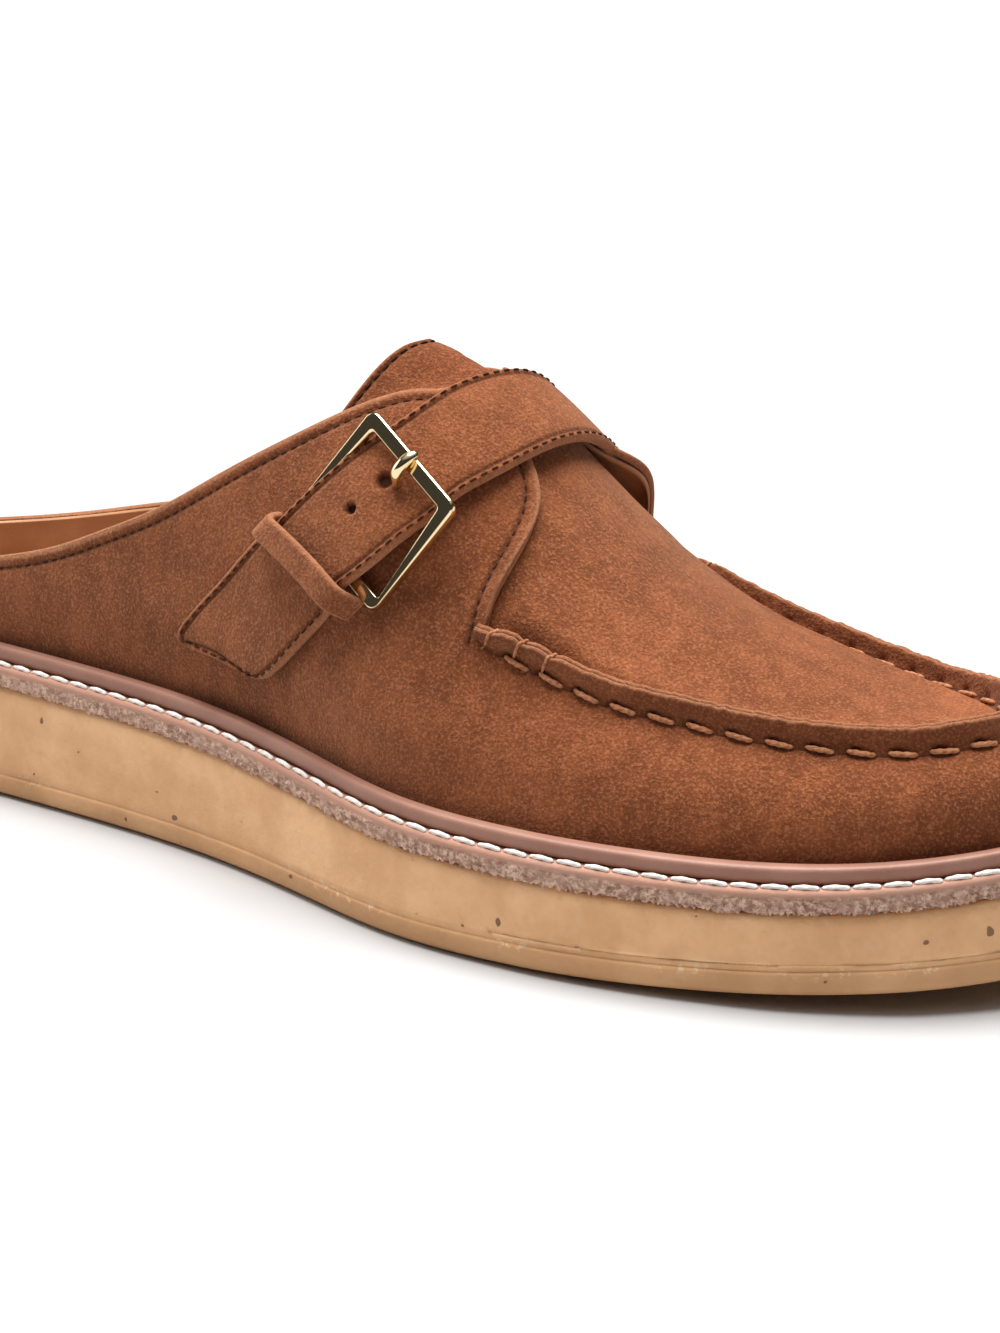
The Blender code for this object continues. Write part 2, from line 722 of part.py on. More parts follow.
def frame_height(along_by):
    """Height of the frame's middle plane: its hinge bar lies below the strap, its front bar above."""
    hinge = CLEAR + FRAME_THICKNESS / 2.0 - HINGE_DIP
    front = strap_top(STRAP[3][4]) + 3.5 * CLEAR
    reach = (FRAME_ALONG - FRAME_BAR) / 2.0
    return hinge + (front - hinge) * (along_by + reach) / (2.0 * reach)


def rounded_rectangle(half_along, half_across, radius, steps=4):
    """Points round a rectangle with round corners."""
    points = []
    for corner, (u, v) in enumerate(((1, 1), (-1, 1), (-1, -1), (1, -1))):
        for turn in np.linspace(0.0, np.pi / 2.0, steps + 1) + corner * np.pi / 2.0:
            points.append((u * (half_along - radius) + radius * np.cos(turn),
                           v * (half_across - radius) + radius * np.sin(turn)))
    return np.array(points)


def buckle_frame():
    """Flat cast frame with rounded corners, its edges slightly broken."""
    half_along, half_across = FRAME_ALONG / 2.0, FRAME_ACROSS / 2.0
    broken = FRAME_THICKNESS * 0.2
    # inset of the loop, height in shares of half the thickness
    profile = (
        (0.0, -1.0),
        (0.0, 0.6),
        (broken, 1.0),
        (FRAME_BAR - broken, 1.0),
        (FRAME_BAR, 0.6),
        (FRAME_BAR, -1.0),
    )
    loops = []
    for inset, level in profile:
        radius = max(FRAME_CORNER - inset, FRAME_CORNER * 0.4)
        outline = rounded_rectangle(half_along - inset, half_across - inset, radius)
        to_hinge = np.clip((half_along - FRAME_BAR - outline[:, 0]) / (FRAME_ALONG - 2.0 * FRAME_BAR), 0.0, 1.0)
        narrow = (FRAME_BAR - HINGE_BAR) * to_hinge * inset / FRAME_BAR
        outline[:, 1] += np.sign(outline[:, 1]) * narrow
        loops.append([buckle_place(u, v, frame_height(u) + level * FRAME_THICKNESS / 2.0) for u, v in outline])
    loft("buckle_frame", loops, finish_material("pale_gold", (0.86, 0.74, 0.48), 0.12, 1.0), closed=True)


def prong_path():
    """Places along the buckle and heights of the prong's middle: under the strap, up through
    its slot and over the front bar."""
    reach = FRAME_ALONG / 2.0
    low = CLEAR * 2.0 + PRONG_THICKNESS / 2.0
    rest = frame_height(reach - FRAME_BAR / 2.0) + FRAME_THICKNESS / 2.0 + CLEAR + PRONG_THICKNESS / 2.0
    return (
        (-reach + FRAME_BAR + 2.0 * CLEAR, low * 0.6, 1.0),
        (reach * 0.15, low * 0.9, 1.0),
        (reach * 0.38, low * 1.1, 1.0),
        (reach * 0.52, (low + rest) * 0.42, 1.0),
        (reach * 0.62, rest * 0.86, 1.0),
        (reach * 0.76, rest + CLEAR, 0.95),
        (reach * 0.95, rest + CLEAR, 0.8),
        (reach * 1.06, rest - CLEAR, 0.55),
    )


def buckle_prong():
    """Pin that holds the strap, its tip over the frame's front bar."""
    rings = []
    path = np.array([point[:2] for point in prong_path()])
    ahead = unit(np.gradient(path, axis=0))
    for (place, height), (run, climb), (_, _, size) in zip(path, ahead, prong_path()):
        ring = []
        for turn in np.radians(np.arange(22.5, 360.0, 45.0)):
            side = np.cos(turn) * PRONG_WIDTH * size / 2.0 / np.cos(np.radians(22.5))
            up = np.sin(turn) * PRONG_THICKNESS * size / 2.0 / np.cos(np.radians(22.5))
            ring.append(buckle_place(place - climb * up, side, height + run * up))
        rings.append(ring)
    loft("buckle_prong", rings, finish_material("prong_gold", (0.88, 0.76, 0.50), 0.12, 1.0))


def strap_holes(target):
    """Slot for the prong and one free round hole, cut through the strap."""
    reach = FRAME_ALONG / 2.0
    shapes = (
        ("prong_slot", reach * 0.50, HOLE_LENGTH / 2.0, HOLE_WIDTH / 2.0),
        ("spare_hole", -reach * 0.30, SPARE_HOLE / 2.0, SPARE_HOLE / 2.0),
    )
    for name, place, half_along, half_across in shapes:
        outline = rounded_rectangle(half_along, half_across, min(half_along, half_across) * 0.99, 3)
        rings = [[buckle_place(place + u, v, height) for u, v in outline]
                 for height in (-STRAP_THICKNESS, strap_top(STRAP[0][4]) + STRAP_THICKNESS)]
        boolean(target, loft(name, rings), "DIFFERENCE")


def build():
    outsole()
    midsole()
    rand()
    insole()
    upper()
    moc_ridge()
    tongue()
    strap_holes(strap())
    buckle_tab()
    keeper()
    buckle_frame()
    buckle_prong()


clear_scene()
shoe = bpy.data.objects.new("shoe", None)
bpy.context.scene.collection.objects.link(shoe)
outline_y = edge_loop(0.0, sole_top, 400)[:, 1]
shoe.location = (-LENGTH / 2.0, -(outline_y.min() + outline_y.max()) / 2.0, 0.0)
build()
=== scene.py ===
import bmesh
import bpy
import numpy as np
from mathutils import Matrix, Vector


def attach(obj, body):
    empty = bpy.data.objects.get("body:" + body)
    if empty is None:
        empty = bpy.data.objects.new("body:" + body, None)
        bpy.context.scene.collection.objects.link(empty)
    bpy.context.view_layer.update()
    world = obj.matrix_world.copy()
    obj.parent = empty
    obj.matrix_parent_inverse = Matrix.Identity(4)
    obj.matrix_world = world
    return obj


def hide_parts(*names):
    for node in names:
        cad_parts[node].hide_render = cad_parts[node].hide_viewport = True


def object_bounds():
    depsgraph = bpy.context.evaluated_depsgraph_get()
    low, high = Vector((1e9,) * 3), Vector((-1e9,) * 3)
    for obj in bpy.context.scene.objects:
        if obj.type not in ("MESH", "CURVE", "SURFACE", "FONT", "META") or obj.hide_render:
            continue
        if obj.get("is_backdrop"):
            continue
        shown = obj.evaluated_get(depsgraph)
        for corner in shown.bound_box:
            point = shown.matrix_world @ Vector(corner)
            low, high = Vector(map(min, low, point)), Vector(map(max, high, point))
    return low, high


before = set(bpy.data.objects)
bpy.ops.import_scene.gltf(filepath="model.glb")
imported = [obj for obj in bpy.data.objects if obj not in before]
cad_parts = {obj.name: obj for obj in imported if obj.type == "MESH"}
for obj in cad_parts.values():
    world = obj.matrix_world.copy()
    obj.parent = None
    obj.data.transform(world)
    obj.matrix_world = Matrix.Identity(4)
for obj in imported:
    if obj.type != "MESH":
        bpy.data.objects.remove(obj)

low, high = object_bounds()


# Outsole: a thick block of natural crepe rubber, cut with upright sides, its lower edge rounded.
# A fine moulding line runs round it just above the floor, and its sides are cloudy, honey
# coloured and slightly uneven.
LENGTH = 0.275
BALL_WIDTH = 0.0955
HEEL_HEIGHT = 0.0282
MIDSOLE_THICKNESS = 0.0041
TOE_SPRING = 0.0057
SPRING_START = 0.60
EDGE_RADIUS = 0.0026
FOXING_LINE = 0.0046
HEEL_ROUND = 0.20
TOE_ROUND = 0.30
TOE_SHIFT = 0.005
CLEAR = 0.0003
# along, lateral, medial: half widths as shares of the ball width
OUTLINE = (
    (0.00, 0.345, 0.345),
    (0.18, 0.341, 0.335),
    (0.30, 0.348, 0.323),
    (0.42, 0.376, 0.298),
    (0.52, 0.437, 0.313),
    (0.60, 0.493, 0.377),
    (0.68, 0.509, 0.450),
    (0.78, 0.502, 0.495),
    (0.88, 0.498, 0.497),
    (1.00, 0.482, 0.480),
)
# along, height of the midsole's top as a share of the heel height
SOLE_TOP = (
    (0.00, 1.000),
    (0.15, 0.975),
    (0.30, 0.943),
    (0.45, 0.883),
    (0.60, 0.765),
    (0.75, 0.738),
    (0.90, 0.785),
    (1.00, 0.922),
)


def spline(table, key, value, scale=1.0):
    """Natural cubic spline through two columns of a table: its bend changes evenly."""
    places = np.array([row[key] for row in table], float)
    values = np.array([row[value] for row in table], float) * scale
    gap = np.diff(places)
    system, right = np.eye(len(places)), np.zeros(len(places))
    for i in range(1, len(places) - 1):
        system[i, i - 1:i + 2] = gap[i - 1], 2.0 * (gap[i - 1] + gap[i]), gap[i]
        right[i] = 6.0 * ((values[i + 1] - values[i]) / gap[i] - (values[i] - values[i - 1]) / gap[i - 1])
    bend = np.linalg.solve(system, right)

    def curve(place):
        """Value of the spline at a place."""
        place = np.asarray(place, float)
        i = np.clip(np.searchsorted(places, place) - 1, 0, len(places) - 2)
        after, before = places[i + 1] - place, place - places[i]
        cubic = (bend[i] * after ** 3 + bend[i + 1] * before ** 3) / (6.0 * gap[i])
        start = (values[i] / gap[i] - bend[i] * gap[i] / 6.0) * after
        end = (values[i + 1] / gap[i] - bend[i + 1] * gap[i] / 6.0) * before
        return cubic + start + end

    return curve


def ease(value):
    """Smooth step from 0 to 1: 3v^2 - 2v^3."""
    value = np.clip(value, 0.0, 1.0)
    return value * value * (3.0 - 2.0 * value)


def quarter_round(value):
    """Height of a quarter circle, 0 at its tip and 1 where it runs level."""
    return np.sqrt(1.0 - (1.0 - np.clip(value, 0.0, 1.0)) ** 2)


lateral_width = spline(OUTLINE, 0, 1, BALL_WIDTH)
medial_width = spline(OUTLINE, 0, 2, BALL_WIDTH)
midsole_top = spline(SOLE_TOP, 0, 1, HEEL_HEIGHT)


def ends(share):
    """Narrowing of the outline towards heel and toe tip, a quarter round at each."""
    return quarter_round(share / HEEL_ROUND) * quarter_round((1.0 - share) / TOE_ROUND)


def centre_line(share):
    """Sideways place of the line that halves the shoe, eased to the medial side at the toe."""
    return TOE_SHIFT * ease((share - 0.55) / 0.45)


def half_width(share, side, inset):
    """Half width of the outline drawn in by inset, lateral where side is negative."""
    return (np.where(np.asarray(side) < 0, lateral_width(share), medial_width(share)) - inset) * ends(share)


def place_along(share, inset):
    """Place along the shoe of a share of the outline drawn in by inset."""
    return inset + share * (LENGTH - 2.0 * inset)


def share_along(x, inset):
    """Share of the drawn-in outline at a place along the shoe, kept between 0 and 1."""
    return np.clip((x - inset) / (LENGTH - 2.0 * inset), 0.0, 1.0)


def sole_top(x):
    """Height of the midsole's top above the floor, by its table."""
    return midsole_top(np.clip(x / LENGTH, 0.0, 1.0))


def sole_bottom(x):
    """Flat on the floor, then rolled up as a square to the toe spring."""
    return TOE_SPRING * np.clip((x / LENGTH - SPRING_START) / (1.0 - SPRING_START), 0.0, 1.0) ** 2


def outline_ring(inset, height, count):
    """Closed loop round the outline drawn in by inset: x spaced by a cosine, height(x) above the floor."""
    share = (1.0 - np.cos(np.linspace(0.0, np.pi, count + 1))) / 2.0
    x = place_along(share, inset)
    lateral = centre_line(share) - half_width(share, -1, inset)
    medial = centre_line(share) + half_width(share, 1, inset)
    loop_x = np.concatenate([x, x[-2:0:-1]])
    return np.stack([loop_x, np.concatenate([lateral, medial[-2:0:-1]]), height(loop_x)], -1)


def middle_ring(height, inset, count):
    """The same loop pressed flat onto the centre line, which closes a layer over its middle."""
    ring = outline_ring(inset, height, count)
    ring[:, 1] = centre_line(share_along(ring[:, 0], inset))
    return ring


rim = outline_ring(0.0, sole_top, 400)[:, 1]
SHOE_PLACE = np.array([-LENGTH / 2.0, -(rim.min() + rim.max()) / 2.0, 0.0])


def ripple(a, b, size, seed):
    """Soft unevenness: a sum of a few waves in two directions with fixed mixed phases."""
    total = np.zeros(np.broadcast(a, b).shape)
    for k in range(1, 6):
        angle = seed * 1.7 + k * 2.4
        total = total + np.sin((a * np.cos(angle) + b * np.sin(angle)) * 6.3 * k / size + seed + k * k) / k
    return total / 2.3


def surface(name, points, material, wrap=(False, False), shades=None):
    """Mesh over a grid of points, or over a stack of grids: each cell is one face, and rows or
    columns that wrap are joined to their start. Coinciding points are merged at poles and seams,
    and a closed surface is turned so that its volume is positive."""
    points = np.asarray(points, float)
    if points.ndim == 3:
        points = points[None]
    copies, rows, columns = points.shape[:3]
    index = np.arange(copies * rows * columns).reshape(copies, rows, columns)
    if wrap[0]:
        index = np.concatenate([index, index[:, :1]], 1)
    if wrap[1]:
        index = np.concatenate([index, index[:, :, :1]], 2)
    cells = np.stack([index[:, :-1, :-1], index[:, 1:, :-1], index[:, 1:, 1:], index[:, :-1, 1:]], -1)
    cells = cells.reshape(-1, 4)
    flat = points.reshape(-1, 3)
    corner = [flat[cells[:, k]] for k in range(4)]
    volume = np.einsum("ij,ij->", corner[0], np.cross(corner[1], corner[2]))
    volume += np.einsum("ij,ij->", corner[0], np.cross(corner[2], corner[3]))
    if volume < 0.0:
        cells = cells[:, ::-1]
    mesh = bpy.data.meshes.new(name)
    mesh.vertices.add(len(flat))
    mesh.vertices.foreach_set("co", (flat + SHOE_PLACE).ravel())
    mesh.loops.add(cells.size)
    mesh.loops.foreach_set("vertex_index", cells.ravel())
    mesh.polygons.add(len(cells))
    mesh.polygons.foreach_set("loop_start", np.arange(0, cells.size, 4))
    for shade, values in (shades or {}).items():
        layer = mesh.attributes.new(shade, "FLOAT", "POINT")
        layer.data.foreach_set("value", np.broadcast_to(values, points.shape[:3]).astype(np.float32).ravel())
    mesh.update(calc_edges=True)
    mesh.validate()
    shell = bmesh.new()
    shell.from_mesh(mesh)
    bmesh.ops.remove_doubles(shell, verts=shell.verts, dist=1e-6)
    shell.to_mesh(mesh)
    shell.free()
    mesh.shade_smooth()
    mesh.materials.append(material)
    piece = bpy.data.objects.new(name, mesh)
    bpy.context.scene.collection.objects.link(piece)
    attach(piece, "root")
    return piece


class Signal:
    """Output socket of a node. Sums and products of signals add Math nodes."""

    def __init__(self, finish, link):
        self.finish, self.link = finish, link

    def math(self, operation, *values):
        """One Math node over values or links."""
        return self.finish.node("ShaderNodeMath", {"operation": operation}, dict(enumerate(values)))

    def __add__(self, other):
        return self.math("ADD", self, other)

    __radd__ = __add__

    def __sub__(self, other):
        return self.math("SUBTRACT", self, other)

    def __rsub__(self, other):
        return self.math("SUBTRACT", other, self)

    def __mul__(self, other):
        return self.math("MULTIPLY", self, other)

    __rmul__ = __mul__

    def between(self, start, stop):
        """0 below start, 1 above stop, smooth in between."""
        settings = {"interpolation_type": "SMOOTHSTEP"}
        values = {"Value": self, "From Min": start, "From Max": stop}
        return self.finish.node("ShaderNodeMapRange", settings, values)


class Finish:
    """Material of one finish, its varying sockets fed by expressions."""

    def __init__(self, name, **constants):
        self.material = bpy.data.materials.new(name)
        self.material.use_nodes = True
        self.tree = self.material.node_tree
        self.shader = self.tree.nodes["Principled BSDF"]
        for socket, value in constants.items():
            self.shader.inputs[socket.replace("_", " ")].default_value = value

    def plug(self, socket, value):
        """Link a signal to a socket, or set the socket to a value."""
        if isinstance(value, Signal):
            self.tree.links.new(value.link, socket)
        elif isinstance(value, tuple) and len(value) == 3 and socket.type == "RGBA":
            socket.default_value = (*value, 1.0)
        else:
            socket.default_value = value

    def node(self, kind, settings, values, output=0):
        """Any node: its settings first, then the values or links of its sockets."""
        node = self.tree.nodes.new(kind)
        for setting, value in settings.items():
            setattr(node, setting, value)
        for socket, value in values.items():
            self.plug(node.inputs[socket], value)
        return Signal(self, node.outputs[output])

    def noise(self, scale, detail=2.0, rough=0.5, stretch=(1.0, 1.0, 1.0), turn=(0.0, 0.0, 0.0)):
        """Cloudy noise on the object's own coordinates, scale in cells per metre."""
        place = self.node("ShaderNodeTexCoord", {}, {}, "Object")
        if stretch != (1.0, 1.0, 1.0) or turn != (0.0, 0.0, 0.0):
            place = self.node("ShaderNodeMapping", {}, {"Vector": place, "Scale": stretch, "Rotation": turn})
        values = {"Vector": place, "Scale": scale, "Detail": detail, "Roughness": rough}
        return self.node("ShaderNodeTexNoise", {}, values)

    def shade(self, name):
        """The mesh's own painted value of that name."""
        return self.node("ShaderNodeAttribute", {"attribute_name": name}, {}, "Fac")

    def blend(self, factor, first, second):
        """Colour from first to second by factor."""
        node = self.tree.nodes.new("ShaderNodeMix")
        node.data_type = "RGBA"
        for socket, value in ((0, factor), (6, first), (7, second)):
            self.plug(node.inputs[socket], value)
        return Signal(self, node.outputs[2])

    def relief(self, height, distance, strength=1.0):
        """Bump of the given depth in metres, fed to the normal."""
        values = {"Height": height, "Distance": distance, "Strength": strength}
        self.plug(self.shader.inputs["Normal"], self.node("ShaderNodeBump", {}, values))

    def colour(self, value):
        """Feed the base colour."""
        self.plug(self.shader.inputs["Base Color"], value)


HONEY = (0.740, 0.395, 0.180)
PALE_HONEY = (0.870, 0.500, 0.250)
AMBER = (0.500, 0.255, 0.105)
CRUMB = (0.850, 0.620, 0.380)
SPECK = (0.120, 0.045, 0.015)

crepe = Finish("crepe", Roughness=0.62, IOR=1.50)
clouds = crepe.noise(70.0, 4.0, 0.6).between(0.36, 0.66)
tone = crepe.blend(clouds, HONEY, PALE_HONEY)
tone = crepe.blend(crepe.noise(26.0, 3.0, 0.5).between(0.54, 0.80) * 0.25, tone, AMBER)
tone = crepe.blend(crepe.noise(300.0, 4.0, 0.6).between(0.50, 0.75) * 0.18, tone, CRUMB)
tone = crepe.blend(crepe.noise(420.0, 3.0, 0.6).between(0.56, 0.75) * 0.18, tone, AMBER)
low_tint = crepe.noise(55.0, 3.0).between(0.25, 0.7) * 0.45 + 0.30
tone = crepe.blend(crepe.shade("low_edge") * low_tint, tone, AMBER)
crumbs = crepe.shade("mould_line") * crepe.noise(800.0, 2.0).between(0.56, 0.62)
crumbs = crumbs * crepe.noise(60.0, 1.0).between(0.5, 0.6)
tone = crepe.blend(crumbs * 0.65, tone, CRUMB)
tone = crepe.blend(crepe.shade("mould_line") * crepe.noise(90.0, 2.0).between(0.4, 0.7) * 0.35, tone, AMBER)
tone = crepe.blend(crepe.noise(420.0, 0.0).between(0.815, 0.83) * 0.8, tone, SPECK)
crepe.colour(tone)
crepe.relief(crepe.noise(260.0, 3.0, 0.55) + crepe.noise(1500.0, 2.0) * 0.25, 0.00055, 0.55)

COUNT = 450
# height of a ring above the sole's lower face, how far it is drawn in, how dark the line is there
MOULD_LINE = (
    (0.0036, 0.0, 0.2),
    (0.0042, 0.0, 0.8),
    (0.0045, 0.0001, 1.0),
    (0.0047, 0.00045, 1.0),
    (0.0050, 0.0004, 1.0),
    (0.0053, 0.0003, 0.8),
    (0.0060, 0.0003, 0.2),
)


def sole_rise(x, share):
    """Height a share of the way from the sole's lower edge line to the crepe's top."""
    base = sole_bottom(x) + FOXING_LINE
    return base + (sole_top(x) - MIDSOLE_THICKNESS - CLEAR - base) * share


rings = [middle_ring(sole_bottom, EDGE_RADIUS, COUNT)]
shade_low, shade_line = [1.0], [0.0]
for inset in (0.016, 0.006):
    rings.append(outline_ring(inset, sole_bottom, COUNT))
    shade_low.append(1.0)
    shade_line.append(0.0)
for turn in np.linspace(0.0, np.pi / 2.0, 8):
    rings.append(outline_ring(EDGE_RADIUS * (1.0 - np.sin(turn)),
                              lambda x: sole_bottom(x) + EDGE_RADIUS * (1.0 - np.cos(turn)), COUNT))
    shade_low.append(1.0)
    shade_line.append(0.0)
for height, inset, line in MOULD_LINE:
    rings.append(outline_ring(inset, lambda x: sole_bottom(x) + height, COUNT))
    shade_low.append(1.0 if height < FOXING_LINE else 0.25)
    shade_line.append(line)
for share in np.linspace(0.12, 1.0, 13):
    rings.append(outline_ring(CLEAR + 0.0006 * share ** 8, lambda x: sole_rise(x, share), COUNT))
    shade_low.append(0.0)
    shade_line.append(0.0)
rings.append(outline_ring(0.004, lambda x: sole_rise(x, 1.0), COUNT))
rings.append(middle_ring(lambda x: sole_rise(x, 1.0), 0.004, COUNT))
rings = np.array(rings)
shade_low += [0.0, 0.0]
shade_line += [0.0, 0.0]
outward = rings[:, :, :2] - np.stack([np.full(rings.shape[:2], LENGTH / 2.0), 0.0 * rings[:, :, 1]], -1)
outward /= np.linalg.norm(outward, axis=-1, keepdims=True)
walk = np.arange(rings.shape[1]) / rings.shape[1]
uneven = ripple(walk[None] * 0.64, rings[:, :, 2] * 1.5, 0.05, 1.0) * 0.00022
uneven *= np.clip((rings[:, :, 2] - 0.001) / 0.004, 0.0, 1.0)
rings[3:-2, :, :2] += (outward * uneven[..., None])[3:-2]
shades = {"low_edge": np.array(shade_low)[:, None], "mould_line": np.array(shade_line)[:, None]}
crepe_block = surface("crepe_block", rings, crepe.material, (False, True), shades)
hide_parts("outsole")


# Midsole: one layer of split leather between crepe and upper. Its grain side is up and rounds
# over the edge, its side is cut and brushed so that pale fibres stand out of it.
RAND_LEDGE = 0.0021
STITCH_INSET = 0.00125
GRAIN_PINK = (0.500, 0.255, 0.175)
FIBRE_PALE = (0.880, 0.600, 0.450)
FIBRE_DARK = (0.400, 0.205, 0.135)

split = Finish("split_leather", Roughness=0.85)
fuzz = split.shade("cut_edge")
fibres = split.noise(900.0, 5.0, 0.75)
tufts = split.noise(240.0, 3.0, 0.6)
tone = split.blend(split.noise(120.0, 3.0).between(0.35, 0.7) * 0.5, GRAIN_PINK, (0.46, 0.27, 0.20))
brushed = split.blend(fibres.between(0.42, 0.62), FIBRE_DARK, FIBRE_PALE)
brushed = split.blend(tufts.between(0.40, 0.66) * 0.50, brushed, (0.66, 0.40, 0.30))
split.colour(split.blend(fuzz, tone, brushed))
split.relief(fibres * fuzz + split.noise(1400.0, 2.0) * 0.12, 0.0009, 0.8)

rng = np.random.default_rng(11)
COUNT = 1150
rings, fuzz_rows = [middle_ring(lambda x: sole_top(x) - MIDSOLE_THICKNESS, 0.004, COUNT)], [0.0]
rings.append(outline_ring(0.003, lambda x: sole_top(x) - MIDSOLE_THICKNESS, COUNT))
fuzz_rows.append(1.0)
side_rows = np.linspace(0.0, 0.74, 10)
for share in side_rows:
    rings.append(outline_ring(CLEAR, lambda x: sole_top(x) - MIDSOLE_THICKNESS * (1.0 - share), COUNT))
    fuzz_rows.append(1.0 - ease((share - 0.56) / 0.16))
for turn in np.linspace(0.15, np.pi / 2.0, 6):
    rings.append(outline_ring(CLEAR + 0.0010 * (1.0 - np.cos(turn)),
                              lambda x: sole_top(x) - 0.0010 * (1.0 - np.sin(turn)), COUNT))
    fuzz_rows.append(0.0)
for inset in (0.0016, 0.0020, 0.0026, 0.0036, 0.006):
    rings.append(outline_ring(inset, sole_top, COUNT))
    fuzz_rows.append(0.0)
rings.append(middle_ring(sole_top, 0.006, COUNT))
fuzz_rows.append(0.0)
rings = np.array(rings)
outward = rings[:, :, :2] - np.stack([np.full(rings.shape[:2], LENGTH / 2.0), 0.0 * rings[:, :, 1]], -1)
outward /= np.linalg.norm(outward, axis=-1, keepdims=True)
brush = rng.normal(0.0, 1.0, rings.shape[:2])
brush = (brush + np.roll(brush, 1, 1) + np.roll(brush, -1, 1)) / 1.7
brush *= np.array(fuzz_rows)[:, None] * 0.00013
rings[2:12, :, :2] += (outward * brush[..., None])[2:12]
notches = rng.normal(0.0, 0.00022, rings.shape[1])
rings[2, :, 2] += notches + ripple(np.arange(rings.shape[1]) * 0.00055, 0.0, 0.02, 3.0) * 0.0002
split_layer = surface("split_layer", rings, split.material, (False, True),
                      {"cut_edge": np.array(fuzz_rows)[:, None]})
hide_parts("midsole")


# Welt seam: thick white waxed thread in long stitches, lying on the midsole close to the rand.
# Each stitch is twisted, a little slanted, and goes down into its hole at both ends.
WELT_PITCH = 0.00495
WELT_LENGTH = 0.0048
WELT_RADIUS = 0.00040
WELT_RISE = 0.00022
WELT_SLANT = 0.00014
WELT_TWIST = 2.2
THREAD_WHITE = (0.90, 0.85, 0.80)


def along_rows(path):
    """Running length of a path of points, from its start."""
    return np.concatenate([[0.0], np.cumsum(np.linalg.norm(np.diff(path, axis=0), axis=1))])


def unit(vectors):
    """Vectors divided by their length."""
    return vectors / np.maximum(np.linalg.norm(vectors, axis=-1, keepdims=True), 1e-12)


def stitch_row(path, up, pitch, length, radius, rise, slant=0.0, twist=0.0, steps=13, sides=8, lean=0.0):
    """Stitches spaced evenly along a path: each follows the path over its length, its thickness
    a round that closes at both ends, arched up by rise, with three twisted plies."""
    run = along_rows(path)
    count = max(1, int(round(run[-1] / pitch)))
    centres = (np.arange(count) + 0.5) * run[-1] / count
    walk = np.linspace(-1.0, 1.0, steps)
    places = centres[:, None] + walk[None] * length / 2.0
    spot = np.stack([np.interp(places, run, path[:, k]) for k in range(3)], -1)
    lift = unit(np.stack([np.interp(places, run, up[:, k]) for k in range(3)], -1))
    ahead = unit(np.gradient(spot, axis=1))
    side = unit(np.cross(ahead, lift))
    body = np.sqrt(np.clip(1.0 - walk ** 6, 0.0, 1.0))
    aside, above = slant * walk + lean, rise * (1.0 - walk ** 2)
    spot = spot + side * aside[None, :, None] + lift * above[None, :, None]
    turn = np.linspace(0.0, 2.0 * np.pi, sides, endpoint=False)
    ply = 1.0 + 0.14 * np.cos(3.0 * (turn[None] - twist * walk[:, None])) * (twist > 0.0)
    size = radius * body[:, None] * ply
    return (spot[:, :, None] + side[:, :, None] * (size * np.cos(turn))[None, ..., None]
            + lift[:, :, None] * (size * np.sin(turn))[None, ..., None])


thread = Finish("welt_thread", Roughness=0.55)
thread.colour(thread.blend(thread.noise(700.0, 2.0).between(0.35, 0.7), THREAD_WHITE, (0.76, 0.66, 0.58)))
thread.relief(thread.noise(3000.0, 2.0, stretch=(1.0, 1.0, 0.3)), 0.00015, 0.5)
track = outline_ring(STITCH_INSET, lambda x: sole_top(x) + 0.00012, 600)
track = np.concatenate([track, track[:1]])
upright = np.broadcast_to(np.array([0.0, 0.0, 1.0]), track.shape)
welt = stitch_row(track, upright, WELT_PITCH, WELT_LENGTH, WELT_RADIUS, WELT_RISE,
                  WELT_SLANT, WELT_TWIST, 15, 10)
surface("welt_stitches", welt, thread.material, (False, True), None)


# Rand: a narrow roll of smooth leather laid in the corner between midsole and upper. It hides the
# lasting edge, with a flat outer face and a soft round on top.
RAND_WIDTH = 0.0031
RAND_HEIGHT = 0.0031
ROSE_BROWN = (0.300, 0.135, 0.090)

roll = Finish("rand_leather", Roughness=0.48)
tone = roll.blend(roll.noise(90.0, 3.0).between(0.3, 0.7), ROSE_BROWN, (0.355, 0.175, 0.120))
tone = roll.blend(roll.noise(900.0, 3.0, 0.7).between(0.60, 0.80) * 0.5, tone, (0.46, 0.27, 0.20))
roll.colour(tone)
roll.relief(roll.noise(1600.0, 3.0, 0.6) * 0.5 + roll.noise(160.0, 2.0), 0.00018, 0.6)
COUNT, SIDES = 620, 28
rings = []
for turn in np.linspace(0.0, 2.0 * np.pi, SIDES, endpoint=False):
    reach = np.sign(np.cos(turn)) * abs(np.cos(turn)) ** 0.62
    rise = np.sign(np.sin(turn)) * abs(np.sin(turn)) ** 0.72
    inset = RAND_LEDGE + RAND_WIDTH / 2.0 - reach * RAND_WIDTH / 2.0
    height = CLEAR * 0.5 + RAND_HEIGHT / 2.0 * (1.0 + rise)
    rings.append(outline_ring(inset, lambda x: sole_top(x) + height, COUNT))
rand_roll = surface("rand_roll", rings, roll.material, (True, True), None)
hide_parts("rand")


# Insole: a footbed of smooth tan leather on a thin cushion, lying inside the upper. Its edge is
# rounded, and it is dished a little under the heel.
INSOLE_THICKNESS = 0.003
FEATHER_INSET = 0.0055
WALL = 0.0024
TAN = (0.470, 0.235, 0.110)


